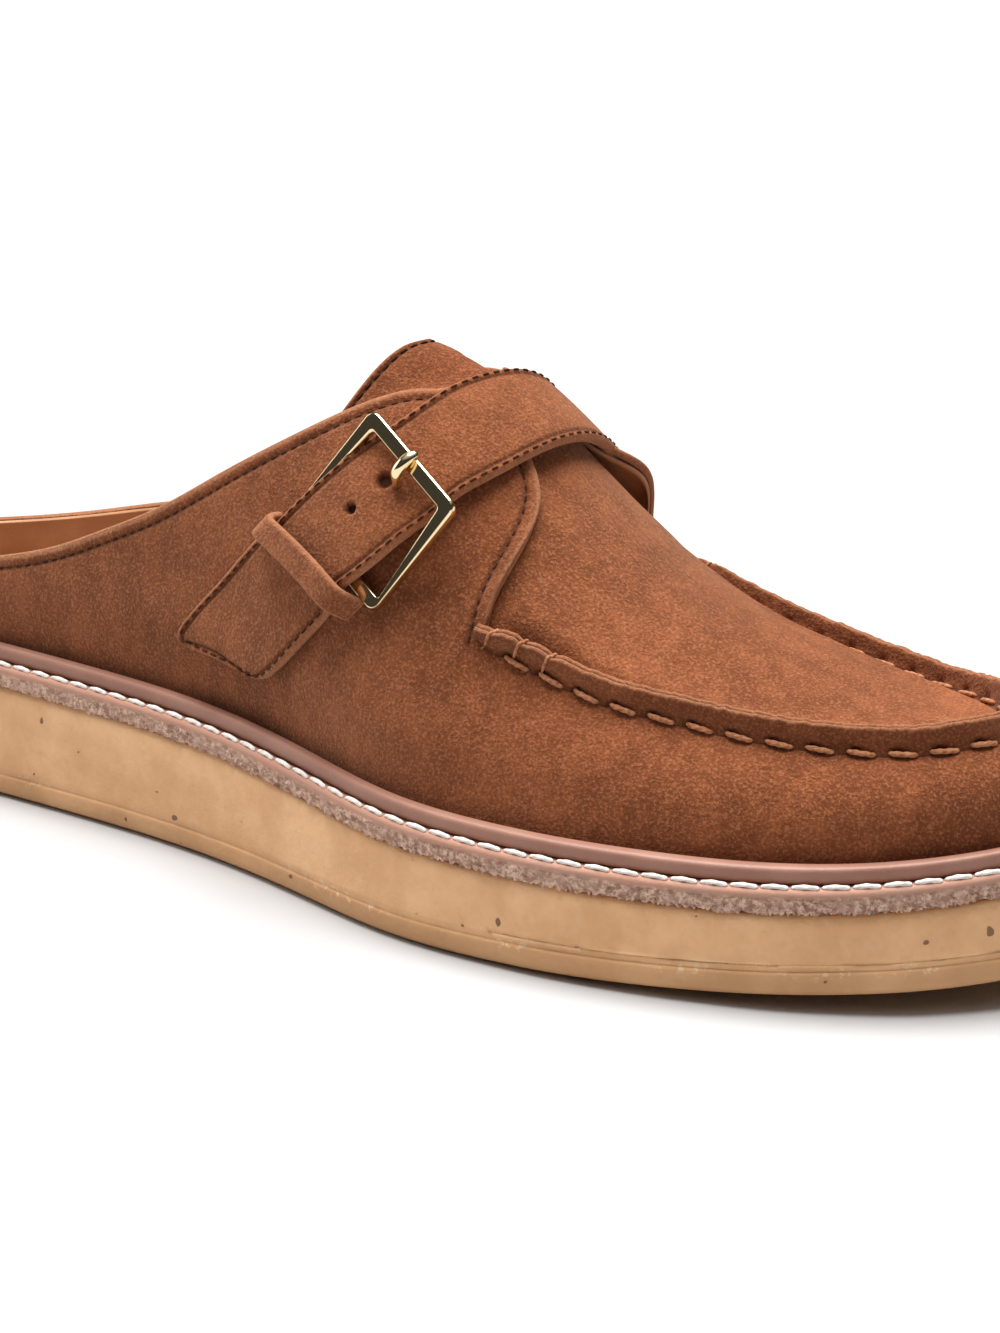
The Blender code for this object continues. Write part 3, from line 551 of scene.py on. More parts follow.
def smooth_leather(name, dark, light, gloss):
    """Smooth vegetable leather: a soft cloudy tint, fine pores and faint creases."""
    finish = Finish(name, Roughness=gloss)
    tone = finish.blend(finish.noise(45.0, 4.0, 0.6).between(0.3, 0.7), dark, light)
    finish.colour(finish.blend(finish.noise(2400.0, 2.0).between(0.62, 0.78) * 0.4, tone, dark))
    finish.relief(finish.noise(1300.0, 4.0, 0.65) + finish.noise(130.0, 3.0) * 1.2, 0.0002, 0.5)
    return finish


footbed_leather = smooth_leather("footbed_leather", (0.36, 0.165, 0.070), TAN, 0.5)
COUNT = 300
inset = FEATHER_INSET + WALL + 2.0 * CLEAR


def footbed_height(x):
    """Insole's top, dished under the heel by a round hollow."""
    dish = 0.0012 * np.exp(-((x - 0.045) / 0.030) ** 2)
    return sole_top(x) + INSOLE_THICKNESS - dish


rings = [middle_ring(lambda x: sole_top(x) + CLEAR, inset, COUNT)]
rings.append(outline_ring(inset, lambda x: sole_top(x) + CLEAR, COUNT))
rings.append(outline_ring(inset, lambda x: sole_top(x) + INSOLE_THICKNESS * 0.66, COUNT))
for turn in np.linspace(0.2, np.pi / 2.0, 6):
    rings.append(outline_ring(inset + 0.001 * (1.0 - np.cos(turn)),
                              lambda x: sole_top(x) + INSOLE_THICKNESS - 0.001 * (1.0 - np.sin(turn)), COUNT))
for share in (0.004, 0.008, 0.013):
    rings.append(outline_ring(inset + share, footbed_height, COUNT))
rings.append(middle_ring(footbed_height, inset + 0.013, COUNT))
footbed = surface("footbed", rings, footbed_leather.material, (False, True), None)
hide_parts("insole")


# Quarters: the side wall of the upper, suede on the outside, cut in two halves that meet at heel
# and toe. They are lasted over the foot's form, run up to the topline and to a facing on each
# side of the apron, and have a row of dark stitches inside their free edge.
INSTEP_HEIGHT = 0.069
APRON_DROP = 0.0011
BULGE = 0.0013
BULGE_RISE = 0.024
TOE_CAP = 0.015
HEEL_CAP = 0.055
SUEDE_THICKNESS = 0.0014
SLOT_HALF = 0.0085
# along, crest as a share of the instep height, squareness of the lateral and the medial side
SECTIONS = (
    (0.00, 1.160, 2.40, 2.40),
    (0.22, 1.160, 2.40, 2.40),
    (0.41, 1.090, 2.30, 2.30),
    (0.49, 1.028, 2.30, 2.50),
    (0.55, 1.018, 1.95, 2.20),
    (0.60, 0.940, 1.55, 1.72),
    (0.65, 0.780, 1.35, 1.60),
    (0.72, 0.548, 1.48, 1.55),
    (0.80, 0.408, 1.90, 1.72),
    (0.88, 0.330, 2.60, 2.10),
    (0.94, 0.298, 3.00, 2.50),
    (1.00, 0.265, 3.20, 2.90),
)
# along, height of the topline above the midsole as a share of the instep height
COLLAR = (
    (0.00, 0.145),
    (0.055, 0.155),
    (0.135, 0.204),
    (0.20, 0.268),
    (0.27, 0.348),
    (0.31, 0.419),
    (0.362, 0.523),
    (0.412, 0.651),
    (0.47, 0.801),
    (0.52, 0.922),
    (0.545, 0.956),
    (0.565, 0.985),
    (0.58, 1.080),
)
# along and across, as shares of length and ball width: the U seam of the apron from above
SEAM = (
    (0.630, -0.340),
    (0.676, -0.320),
    (0.720, -0.304),
    (0.764, -0.277),
    (0.811, -0.247),
    (0.859, -0.202),
    (0.904, -0.142),
    (0.936, -0.060),
    (0.944, 0.020),
    (0.932, 0.100),
    (0.901, 0.183),
    (0.857, 0.241),
    (0.809, 0.272),
    (0.765, 0.284),
    (0.720, 0.288),
    (0.680, 0.292),
    (0.645, 0.300),
)
# along, lateral and medial place across: the facings from the slot to the end of the seam
FACING = (
    (0.592, -0.090, 0.090),
    (0.608, -0.098, 0.098),
    (0.622, -0.112, 0.115),
    (0.634, -0.142, 0.145),
    (0.639, -0.190, 0.195),
    (0.638, -0.240, 0.240),
    (0.635, -0.290, 0.275),
)

crest_rise = spline(SECTIONS, 0, 1, INSTEP_HEIGHT)
lateral_power = spline(SECTIONS, 0, 2)
medial_power = spline(SECTIONS, 0, 3)
collar_rise = spline(COLLAR, 0, 1, INSTEP_HEIGHT)


def crest(share, depth):
    """Crest above the feather edge, taken down to nothing at both tips."""
    heel = quarter_round(share * LENGTH / HEEL_CAP)
    toe = quarter_round((1.0 - share) * LENGTH / TOE_CAP)
    return (crest_rise(share) - depth) * heel * toe


def feather(x):
    """Height of the last's lower edge: a hair above the midsole's top."""
    return sole_top(x) + CLEAR


def belly(rise, share):
    """How far the wall swells over the rand: a cosine hump over its first rise."""
    level = np.clip((rise - RAND_HEIGHT) / BULGE_RISE, 0.0, 1.0)
    return BULGE * (1.0 - np.cos(2.0 * np.pi * level)) / 2.0 * ends(share)


def skin(x, girth, depth=0.0):
    """Point on the last: x along it, girth from -1 over the crest at 0 to 1, depth inwards. Across
    it is a cosine of the girth, its height a power of the sine."""
    x, girth, depth = np.broadcast_arrays(np.asarray(x, float), girth, depth)
    inset = FEATHER_INSET + depth
    share = share_along(x, inset)
    turn = np.clip(1.0 - np.abs(girth), 0.0, 1.0) * np.pi / 2.0
    power = np.where(girth < 0, lateral_power(share), medial_power(share))
    rise = crest(share, depth) * np.sin(turn) ** (2.0 / power)
    reach = half_width(share, girth, inset) * np.cos(turn) + belly(rise, share) * ease(np.abs(girth) * 4.0)
    return np.stack([x, centre_line(share) + np.sign(girth) * reach, feather(x) + rise], -1)


def girth_over(x, y):
    """Girth of the last over a point of the plan, found by narrowing down the swelling wall."""
    share = share_along(x, FEATHER_INSET)
    off = y - centre_line(share)
    power = np.where(off < 0, lateral_power(share), medial_power(share))
    width = half_width(share, off, FEATHER_INSET)
    turn = np.arccos(np.clip(np.abs(off) / width, 0.0, 1.0))
    for _ in range(8):
        swell = belly(crest(share, 0.0) * np.sin(turn) ** (2.0 / power), share)
        swell = swell * ease((1.0 - turn * 2.0 / np.pi) * 4.0)
        turn = np.arccos(np.clip((np.abs(off) - swell) / width, 0.0, 1.0))
    return np.sign(off) * (1.0 - turn * 2.0 / np.pi)


def skin_normal(x, girth):
    """Outward normal of the last, across two small steps on it."""
    step = 1e-4
    along = skin(x + step, girth) - skin(x - step, girth)
    around = skin(x, girth + step) - skin(x, girth - step)
    return unit(np.cross(along, around))


def above_skin(x, girth, offset):
    """Point on the last moved out along its normal by offset."""
    return skin(x, girth) + skin_normal(x, girth) * np.asarray(offset)[..., None]


def walk_curve(table, columns, count):
    """Even walk along a smooth curve through rows of along and across shares."""
    steps = tuple((float(i), row[columns[0]] * LENGTH, row[columns[1]] * BALL_WIDTH)
                  for i, row in enumerate(table))
    fine = np.linspace(0.0, len(table) - 1.0, 60 * len(table))
    path = np.column_stack([spline(steps, 0, 1)(fine), spline(steps, 0, 2)(fine)])
    run = along_rows(path)
    even = np.linspace(0.0, run[-1], count)
    return np.column_stack([np.interp(even, run, path[:, 0]), np.interp(even, run, path[:, 1])])


def grid_normals(points):
    """Normals of a grid, cross product of its two directions, not yet turned outwards."""
    return unit(np.cross(np.gradient(points, axis=0), np.gradient(points, axis=1)))


def suede(name, deep, mid, lit):
    """Brushed suede: cloudy patches where the nap lies differently, a fine grain of fibres with
    dark roots and pale tips, painted shade in seams, stitch holes and hollows, and a pale raw edge."""
    finish = Finish(name, Roughness=0.95, Sheen_Weight=0.24, Sheen_Roughness=0.5,
                    Sheen_Tint=(1.0, 0.70, 0.49, 1.0), Specular_IOR_Level=0.12)
    patches = finish.noise(30.0, 3.0, 0.55).between(0.34, 0.68)
    brushed = finish.noise(230.0, 4.0, 0.65, (1.0, 1.0, 0.5), (0.0, 0.5, 0.0)).between(0.36, 0.66)
    fibres = finish.noise(1900.0, 3.0, 0.65)
    tone = finish.blend(patches * 0.45 + brushed * 0.45, deep, mid)
    tone = finish.blend(fibres.between(0.48, 0.66) * 0.40, tone, lit)
    tone = finish.blend((1.0 - fibres).between(0.50, 0.68) * 0.60, tone, deep)
    # painted shade: near black in seams, stitch holes, hollows and under parts, by the mesh's own shade value
    tone = finish.blend(finish.shade("painted_shade"), tone, (0.050, 0.014, 0.006))
    tone = finish.blend(finish.shade("raw_edge") * (0.35 + fibres * 0.9), tone, (0.50, 0.225, 0.115))
    finish.colour(tone)
    finish.relief(fibres + finish.noise(520.0, 3.0, 0.6) * 0.9, 0.00045, 0.9)
    return finish


DEEP_TOBACCO = (0.150, 0.040, 0.013)
TOBACCO = (0.310, 0.092, 0.034)
TOBACCO_TIPS = (0.540, 0.205, 0.090)
wall_suede = suede("wall_suede", DEEP_TOBACCO, TOBACCO, TOBACCO_TIPS)

# free edge of each half, walked from the heel over topline, slot, facing and seam to the toe
heel_x = np.linspace(1e-5, 0.004, 4000)
heel_crest = crest(share_along(heel_x + FEATHER_INSET, FEATHER_INSET), 0.0)
heel_start = heel_x[np.argmax(heel_crest > collar_rise(0.0))]
line_reach = 0.566 * LENGTH - FEATHER_INSET - heel_start
line_x = FEATHER_INSET + heel_start + line_reach * np.linspace(0.0, 1.0, 900) ** 2
line_share = share_along(line_x, FEATHER_INSET)
line_level = np.clip(collar_rise(line_x / LENGTH) / crest(line_share, 0.0), 0.0, 1.0)


def half_edge(side):
    """Free edge of one half as (x, girth) from heel to toe."""
    power = (lateral_power if side < 0 else medial_power)(line_share)
    line_girth = side * (1.0 - np.arcsin(line_level ** (power / 2.0)) * 2.0 / np.pi)
    line_girth[0] = 0.0
    seam = walk_curve(SEAM, (0, 1), 901)
    centre = centre_line(share_along(seam[:, 0], FEATHER_INSET))
    toe = int(np.argmin(np.abs(seam[:, 1] - centre) + (seam[:, 0] < 0.9 * LENGTH)))
    facing = walk_curve(FACING, (0, 1 if side < 0 else 2), 200)
    rest = seam[:toe + 1] if side < 0 else seam[toe:][::-1]
    plan = np.concatenate([facing, rest[8:]])
    x = np.concatenate([line_x, plan[:, 0]])
    girth = np.concatenate([line_girth, girth_over(plan[:, 0], plan[:, 1])])
    girth[-1] = 0.0
    return x, girth


# share of the way from corner to toe after which the rows close over the toe's tip
TOE_CLOSE = 0.86
HEEL_SWEEP = 0.012


def wall_frame(side, step):
    """Grid directions of one half: its free edge (x as a cosine share, girth) evenly spaced in
    space, and the matching places on the feather edge, fanned out at heel and toe tips."""
    x, girth = half_edge(side)
    run = along_rows(skin(x, girth))
    even = np.linspace(0.0, run[-1], int(run[-1] / step))
    share = share_along(np.interp(even, run, x), FEATHER_INSET)
    lean = np.arccos(1.0 - 2.0 * share) / np.pi
    girth = np.interp(even, run, girth)
    front = np.interp(0.555, share[share < 0.56], even[share < 0.56])
    low_lean = lean * ease((even - HEEL_SWEEP) / 0.075) ** 0.5
    corner = even[np.argmax(even > np.interp(0.60, share[share < 0.61], even[share < 0.61]) + 0.012)]
    corner = even[np.argmax((even > corner) & (np.abs(girth) > 0.50))]
    low_front = np.interp(front, even, lean)
    low_corner = np.arccos(1.0 - 2.0 * 0.606) / np.pi
    ahead = np.clip((even - corner) / (even[-1] - corner), 0.0, 1.0)
    spread = (low_corner - low_front) * (even - front) / (corner - front)
    low_lean = np.where(even > front, low_front + spread, low_lean)
    sweep = np.clip(ahead / TOE_CLOSE, 0.0, 1.0) ** 0.9
    low_lean = np.where(even > corner, low_corner + (1.0 - low_corner) * sweep, low_lean)
    low_girth = side * np.clip(even / HEEL_SWEEP, 0.0, 1.0)
    closing = side * (1.0 - (ahead - TOE_CLOSE) / (1.0 - TOE_CLOSE))
    low_girth = np.where(ahead > TOE_CLOSE, closing, low_girth)
    return even, lean, girth, low_lean, low_girth, corner


# by side: the hump's middle before the corner, its spread along, its height, its spread inwards
FACING_STAND = {-1: (0.010, 0.013, 0.0009, 0.006), 1: (0.014, 0.0105, 0.0046, 0.011)}


def facing_lift(even, corner, side, edge):
    """The facings stand off the apron: a soft hump along the edge that dies out inwards, high on
    the medial side, where the facing gapes, and low on the lateral side."""
    before, spread, height, inwards = FACING_STAND[side]
    along = np.exp(-((even - corner + before) / spread) ** 2)[:, None]
    return height * along * np.exp(-(edge / inwards) ** 1.6)


def wall_grid(side, step, levels, depth):
    """Face of one half at a depth: levels run from the feather edge at 0 to the free edge at 1."""
    even, lean, girth, low_lean, low_girth, corner = wall_frame(side, step)
    u = low_lean[:, None] + (lean - low_lean)[:, None] * levels
    g = low_girth[:, None] + (girth - low_girth)[:, None] * levels
    inset = FEATHER_INSET + depth
    points = skin(place_along((1.0 - np.cos(np.pi * u)) / 2.0, inset), g, depth)
    rim = points[:, -1]
    edge = np.full(points.shape[:2], 1.0)
    for shift in range(-44, 45, 2):
        near = rim[np.clip(np.arange(len(rim)) + shift, 0, len(rim) - 1)]
        edge = np.minimum(edge, np.linalg.norm(points - near[:, None], axis=-1))
    out = skin_normal(place_along((1.0 - np.cos(np.pi * u)) / 2.0, inset), g)
    free = ease((corner + 0.001 - even) / 0.003)[:, None]
    return points + out * facing_lift(even, corner, side, edge)[..., None], out, edge, free


LEVELS = np.concatenate([np.linspace(0.0, 0.86, 42), 0.86 + 0.14 * np.linspace(0.0, 1.0, 27)[1:] ** 0.8])


def wall_piece(side, name, material, outer_depth, inner_depth, trim, step=0.00062):
    """One half as a closed shell: outer face, rounded free edge and inner face."""
    outer, out, edge, free = wall_grid(side, step, LEVELS, outer_depth)
    inner = wall_grid(side, step, LEVELS[::3], inner_depth)[0]
    thick = inner_depth - outer_depth
    if outer_depth == 0.0:
        sunk, swell = np.exp(-((edge - 0.0022) / 0.00050) ** 2), np.exp(-((edge - 0.0010) / 0.0006) ** 2)
        roll = -0.00030 * sunk + 0.00014 * swell
        outer = outer + out * (roll * free)[..., None]
    top = unit(outer[:, -1] - outer[:, -4])
    bend = np.linspace(0.0, np.pi, 8)[1:-1]
    middle = (outer[:, -1] + inner[:, -1]) / 2.0
    half = (outer[:, -1] - inner[:, -1]) / 2.0
    across = half[:, None] * np.cos(bend)[None, :, None]
    rounding = middle[:, None] + across + top[:, None] * (np.sin(bend) * thick / 2.0)[None, :, None]
    grid = np.concatenate([outer, rounding, inner[:, ::-1]], 1)
    grid = grid - top[:, None] * trim * free[..., None]
    shade = {}
    if outer_depth == 0.0:
        # painted shade in the groove of the topline seam, and a band of painted shade at the wall's foot
        # above the rand
        groove = np.exp(-((edge - 0.0023) / 0.0005) ** 2) * free * 0.55
        low_dark = np.exp(-((outer[..., 2] - feather(outer[..., 0]) - RAND_HEIGHT) / 0.0022) ** 2) * 0.35
        painted_shade = np.clip(groove + low_dark, 0.0, 1.0)
        raw = np.exp(-(edge / 0.0007) ** 2) * free * 0.75
        rest = np.zeros((len(grid), grid.shape[1] - outer.shape[1]))
        raw_rest = rest.copy()
        raw_rest[:, :6] = 0.7 * free
        shade = {"painted_shade": np.concatenate([painted_shade, rest], 1), "raw_edge": np.concatenate([raw, raw_rest], 1)}
    piece = surface(name, grid, material, (False, True), shade)
    return piece, outer, out, edge, int(np.argmax(free[:, 0] < 0.9))


quarter_out, quarter_face, quarter_normal, quarter_edge, quarter_stop = wall_piece(
    -1, "quarter_lateral", wall_suede.material, 0.0, SUEDE_THICKNESS, 0.0)
medial_face, medial_normal, medial_edge, medial_stop = wall_piece(
    1, "quarter_medial", wall_suede.material, 0.0, SUEDE_THICKNESS, 0.0)[1:]
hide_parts("upper")


# Lining: smooth tan leather glued inside the quarters, from the footbed up. It ends a hair lower
# than their free edge, so that the suede's raw edge shows above it.
LINING_TRIM = 0.0004
lining_leather = smooth_leather("lining_leather", (0.40, 0.175, 0.075), (0.530, 0.265, 0.125), 0.42)
for side, name in ((-1, "lining_lateral"), (1, "lining_medial")):
    wall_piece(side, name, lining_leather.material, SUEDE_THICKNESS + 0.00005, WALL, LINING_TRIM,
               0.0012)


# Dark seam: one row of short stitches in thin waxed thread, sewn through quarter and lining inside
# the free edge of both halves. They sink into the suede.
DARK_THREAD = (0.052, 0.016, 0.008)
DARK_PITCH = 0.0023
DARK_LENGTH = 0.0016
TOPLINE_INSET = 0.0022
dark_thread = Finish("dark_thread", Roughness=0.95, Specular_IOR_Level=0.1)
wax = dark_thread.noise(900.0, 2.0).between(0.4, 0.7)
dark_thread.colour(dark_thread.blend(wax, DARK_THREAD, (0.105, 0.034, 0.015)))


def along_edge(face, normal, edge, distance):
    """Path on a face at a distance from its free edge, with the normals there."""
    reverse = edge[:, ::-1]
    column = np.array([np.interp(distance, row, np.arange(len(row))) for row in reverse])
    column = edge.shape[1] - 1 - column
    low = np.clip(column.astype(int), 0, edge.shape[1] - 2)
    part = (column - low)[:, None]
    rows = np.arange(len(edge))
    return (face[rows, low] * (1 - part) + face[rows, low + 1] * part), normal[rows, low]


for face, normal, edge, stop, name in (
        (quarter_face, quarter_normal, quarter_edge, quarter_stop, "topline_stitches_lateral"),
        (medial_face, medial_normal, medial_edge, medial_stop, "topline_stitches_medial")):
    path, lift = along_edge(face, normal, edge, TOPLINE_INSET)
    path, lift = path[:stop] - lift[:stop] * 0.00010, lift[:stop]
    row = stitch_row(path, lift, DARK_PITCH, DARK_LENGTH, 0.00024, 0.00010, steps=7, sides=6)
    surface(name, row, dark_thread.material, (False, True), None)


# Apron: the plug of suede let in over the toes, one layer lower than the quarters. It rolls over
# into the foot of the ridge along its U seam, and runs back under both facings and the strap.
APRON_THICKNESS = 0.0011
# along, across: edge of the apron where the quarters hide it, lateral side, shares as in the seam
APRON_TAIL = (
    (0.574, 0.150),
    (0.596, 0.175),
    (0.612, 0.235),
    (0.622, 0.305),
    (0.634, 0.340),
)
# the apron's suede is a little lighter than the wall's: partly its own tone, partly painted light from above
apron_suede_tone_and_light = suede("apron_suede_tone_and_light", (0.170, 0.047, 0.016), (0.340, 0.106, 0.040), (0.560, 0.225, 0.105))


def apron_side(side, count):
    """Edge of the apron on one side in the plan, from its hidden rear to the toe."""
    seam = walk_curve(SEAM, (0, 1), 901)
    toe = int(np.argmax(seam[:, 0]))
    half = seam[:toe + 1] if side < 0 else seam[toe:][::-1]
    tail = np.array([(along * LENGTH, side * across * BALL_WIDTH) for along, across in APRON_TAIL])
    half = half[np.argmax(half[:, 0] > 0.655 * LENGTH):]
    path = np.concatenate([tail, half])
    run = along_rows(path)
    even = run[-1] * np.sin(np.linspace(0.0, np.pi / 2.0, count))
    return np.column_stack([np.interp(even, run, path[:, 0]), np.interp(even, run, path[:, 1])])


left, right_edge = apron_side(-1, 200), apron_side(1, 200)
across = (1.0 - np.cos(np.linspace(0.0, np.pi, 125))) / 2.0
plan = left[:, None] + (right_edge - left)[:, None] * across[None, :, None]
seam_path = walk_curve(SEAM, (0, 1), 700)
gap = np.full(plan.shape[:2], 1.0)
for start in range(0, len(seam_path), 100):
    piece = seam_path[start:start + 100]
    gap = np.minimum(gap, np.sqrt(((plan[:, :, None] - piece[None, None]) ** 2).sum(-1)).min(-1))
apron_girth = girth_over(plan[..., 0], plan[..., 1])
sunk = APRON_DROP + 0.0005 * ease((0.675 * LENGTH - plan[..., 0]) / 0.008)
fore = ease((plan[..., 0] - 0.640 * LENGTH) / 0.006)
rolled = (0.0007 * np.exp(-((gap - 0.0052) / 0.0020) ** 2) - 0.0012 * np.exp(-(gap / 0.0028) ** 4)) * fore
soft = ripple(plan[..., 0], plan[..., 1], 0.06, 4.0) * 0.00035 * ease(gap / 0.008)
crease = sum(depth * np.exp(-((plan[..., 0] - place * LENGTH - 0.25 * np.abs(plan[..., 1])) / 0.0032) ** 2)
             for place, depth in ((0.668, -0.00030), (0.700, -0.00022), (0.738, -0.00016)))
crease = crease * np.exp(-(plan[..., 1] / 0.020) ** 2)
apron_top = above_skin(plan[..., 0], apron_girth, rolled + soft + crease - sunk)
apron_out = skin_normal(plan[..., 0], apron_girth)
# painted shade where the apron rolls down into the foot of the ridge
painted_shade = np.exp(-(gap / 0.0030) ** 4) * 0.75 * fore
layers = np.stack([apron_top, (apron_top - apron_out * APRON_THICKNESS)[:, ::-1]])
shades = {"painted_shade": np.stack([painted_shade, painted_shade[:, ::-1]])}
apron = surface("apron", layers, apron_suede_tone_and_light.material, (False, False), shades)
solid = apron.modifiers.new("edge", "WELD")
solid.merge_threshold = 1e-5


# Moc ridge: the wall's edge and the apron's edge stand up side by side and are sewn together by
# hand, pinched at every stitch, so that a raised cord with two raw edges runs round the toes.
RIDGE_HEIGHT = 0.0047
MOC_PITCH = 0.0068
# offset outwards from the seam and height above the last, both in ridge heights
RIDGE_PROFILE = (
    (0.30, -0.22),
    (0.20, -0.02),
    (0.12, 0.10),
    (0.07, 0.26),
    (0.06, 0.48),
    (0.05, 0.72),
    (0.03, 0.90),
    (-0.02, 0.985),
    (-0.09, 1.00),
    (-0.15, 0.96),
    (-0.19, 0.93),
    (-0.23, 0.96),
    (-0.30, 0.985),
    (-0.38, 0.95),
    (-0.43, 0.84),
    (-0.455, 0.60),
    (-0.47, 0.32),
    (-0.50, 0.08),
    (-0.56, -0.10),
    (-0.70, -0.34),
    (-0.20, -0.50),
)
# the ridge's suede is a darker copy of the wall's: painted shade on the ridge's outward, downward face
ridge_suede = suede("ridge_suede", (0.145, 0.040, 0.014), (0.275, 0.082, 0.031), (0.470, 0.180, 0.080))
ridge_plan = walk_curve(SEAM, (0, 1), 500)
seam_girth = girth_over(ridge_plan[:, 0], ridge_plan[:, 1])
seam_base = skin(ridge_plan[:, 0], seam_girth)
seam_normal = skin_normal(ridge_plan[:, 0], seam_girth)
seam_ahead = unit(np.gradient(seam_base, axis=0))
seam_up = unit(seam_normal * 0.45 + np.array([0.0, 0.0, 0.55]))
seam_up = unit(seam_up - seam_ahead * (seam_up * seam_ahead).sum(1, keepdims=True))
seam_side = unit(np.cross(seam_ahead, seam_up))
seam_run = along_rows(seam_base)
closed = RIDGE_PROFILE + RIDGE_PROFILE[:1]
profile_x = spline(tuple((float(i), a) for i, (a, _) in enumerate(closed)), 0, 1)
profile_z = spline(tuple((float(i), b) for i, (_, b) in enumerate(closed)), 0, 1)
fine = np.linspace(0.0, len(closed) - 1.0, 64, endpoint=False)
stitch_count = int(round(seam_run[-1] / MOC_PITCH))
phase = seam_run / seam_run[-1] * stitch_count
between = np.abs((phase + 0.5) % 1.0 - 0.5) * seam_run[-1] / stitch_count
pinched = np.exp(-(between / 0.0010) ** 2)
from_end = np.minimum(seam_run, seam_run[-1] - seam_run)
WHIPS = (0.0030, 0.0088, 0.0146)
whipped = sum(np.exp(-((seam_run - run) / 0.0011) ** 2) for run in WHIPS)
whipped = whipped + sum(np.exp(-((seam_run[-1] - seam_run - run) / 0.0011) ** 2) for run in WHIPS[:2])
tall = RIDGE_HEIGHT * (1.0 - 0.26 * ease((ridge_plan[:, 1] - 0.004) / 0.020))
tall = tall * (0.60 + 0.40 * ease(from_end / 0.007)) * (1.0 - 0.10 * whipped)
tall = tall * (1.0 + 0.030 * ripple(seam_run, 0.0, 0.012, 5.0)) - 0.00010 * pinched
wide = RIDGE_HEIGHT * (1.0 - 0.08 * whipped)
offset = (profile_x(fine) - 0.10)[None] * wide[:, None]
height = profile_z(fine)[None] * tall[:, None]
foot = np.exp(-((profile_z(fine) - 0.12) / 0.20) ** 2)[None]
offset = offset - np.sign(offset + 0.0009) * foot * pinched[:, None] * 0.00050
ragged = rng.normal(0.0, 1.0, (len(seam_run), 1))
ragged = (ragged + np.roll(ragged, 1, 0) + np.roll(ragged, 2, 0)) / 1.7 * 0.00007
height = height + ragged * (profile_z(fine)[None] > 0.88)
rings = seam_base[:, None] + seam_side[:, None] * offset[..., None] + seam_up[:, None] * height[..., None]
start = rings[:1].mean(1, keepdims=True) + 0.0 * rings[:1]
stop = rings[-1:].mean(1, keepdims=True) + 0.0 * rings[-1:]
rings = np.concatenate([start, rings, stop])
raw = np.exp(-((profile_z(fine) - 0.99) / 0.05) ** 2)[None] * 0.55 + 0.0 * rings[..., 0]
# painted shade: in the pit at each stitch, along the split between the two layers on top, and under the
# ridge's foot
pits = np.exp(-((profile_z(fine) - 0.02) / 0.20) ** 2)[None]
pits = pits * np.concatenate([[0], pinched, [0]])[:, None] * 0.95
split_line = np.exp(-((fine - 10.0) / 0.5) ** 2)[None] * 0.8 + 0.0 * rings[..., 0]
under = np.exp(-((profile_z(fine) + 0.04) / 0.12) ** 2)[None] * 0.65 + 0.0 * rings[..., 0]
shades = {"painted_shade": np.clip(pits + split_line + under, 0.0, 1.0), "raw_edge": raw}
ridge = surface("ridge", rings, ridge_suede.material, (False, True), shades)
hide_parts("moc_ridge")


# Moc stitches: thick twisted thread, tan, long stitches at the foot of the ridge on both sides,
# and a few that whip over its ends.
MOC_THREAD = (0.520, 0.235, 0.120)
MOC_LENGTH = 0.0050
MOC_RADIUS = 0.00045
WHIP_RADIUS = 0.00030
moc_thread = Finish("moc_thread", Roughness=0.9, Specular_IOR_Level=0.2)
strand = moc_thread.noise(1500.0, 3.0, 0.6)
moc_thread.colour(moc_thread.blend(strand.between(0.35, 0.65), (0.340, 0.125, 0.050), MOC_THREAD))
moc_thread.relief(strand, 0.0002, 0.6)
outer_path = seam_base + seam_side * (0.08 * RIDGE_HEIGHT) + seam_up * (0.09 * RIDGE_HEIGHT)
inner_path = seam_base - seam_side * (0.62 * RIDGE_HEIGHT) - seam_up * (0.03 * RIDGE_HEIGHT)
for path, side, lean, rise, name in ((outer_path, seam_side, 0.0002, 0.00040, "moc_stitches_outer"),
                                     (inner_path, -seam_side, -0.0002, 0.00020, "moc_stitches_inner")):
    lift = unit(seam_up * 0.5 + side * 0.85)
    row = stitch_row(path[14:-14], lift[14:-14], MOC_PITCH, MOC_LENGTH, MOC_RADIUS, rise, lean, 3.4, 21, 12)
    surface(name, row, moc_thread.material, (False, True), None)
whips = []
for run in WHIPS + (seam_run[-1] - WHIPS[0], seam_run[-1] - WHIPS[1]):
    k = int(np.argmin(np.abs(seam_run - run)))
    arch = np.linspace(0.6, 17.8, 34)
    reach = (profile_x(arch) - 0.10) * wide[k]
    over = profile_z(arch) * tall[k]
    tilt = (np.linspace(-1.0, 1.0, 34) * 0.0009)[:, None]
    loop = seam_base[k] + seam_side[k] * reach[:, None] + seam_up[k] * over[:, None] + seam_ahead[k] * tilt
    away = unit(loop - (seam_base[k] - seam_side[k] * 0.0009 + seam_up[k] * 0.0020))
    loop = loop + away * 0.00010
    beside = unit(np.cross(np.gradient(loop, axis=0), away))
    turn = np.linspace(0.0, 2.0 * np.pi, 10, endpoint=False)
    size = WHIP_RADIUS * np.sqrt(1.0 - np.linspace(-1.0, 1.0, 34) ** 10)[:, None, None]
    around = away[:, None] * np.cos(turn)[None, :, None] + beside[:, None] * np.sin(turn)[None, :, None]
    whips.append(loop[:, None] + size * around)
surface("moc_whips", np.array(whips), moc_thread.material, (False, True), None)


# Tongue: a suede tab whose free edge stands up behind the strap and is drawn back at its sides,
# where it goes under the quarters. A fine seam follows its free edge.
SLOT_FRONT = 0.585
TONGUE_END = 0.513
TONGUE_DRAW = 0.052
TONGUE_TUCK = 0.0035
TONGUE_THICKNESS = 0.0018
TONGUE_LIFT = 0.0004
TONGUE_FALL = 0.0090
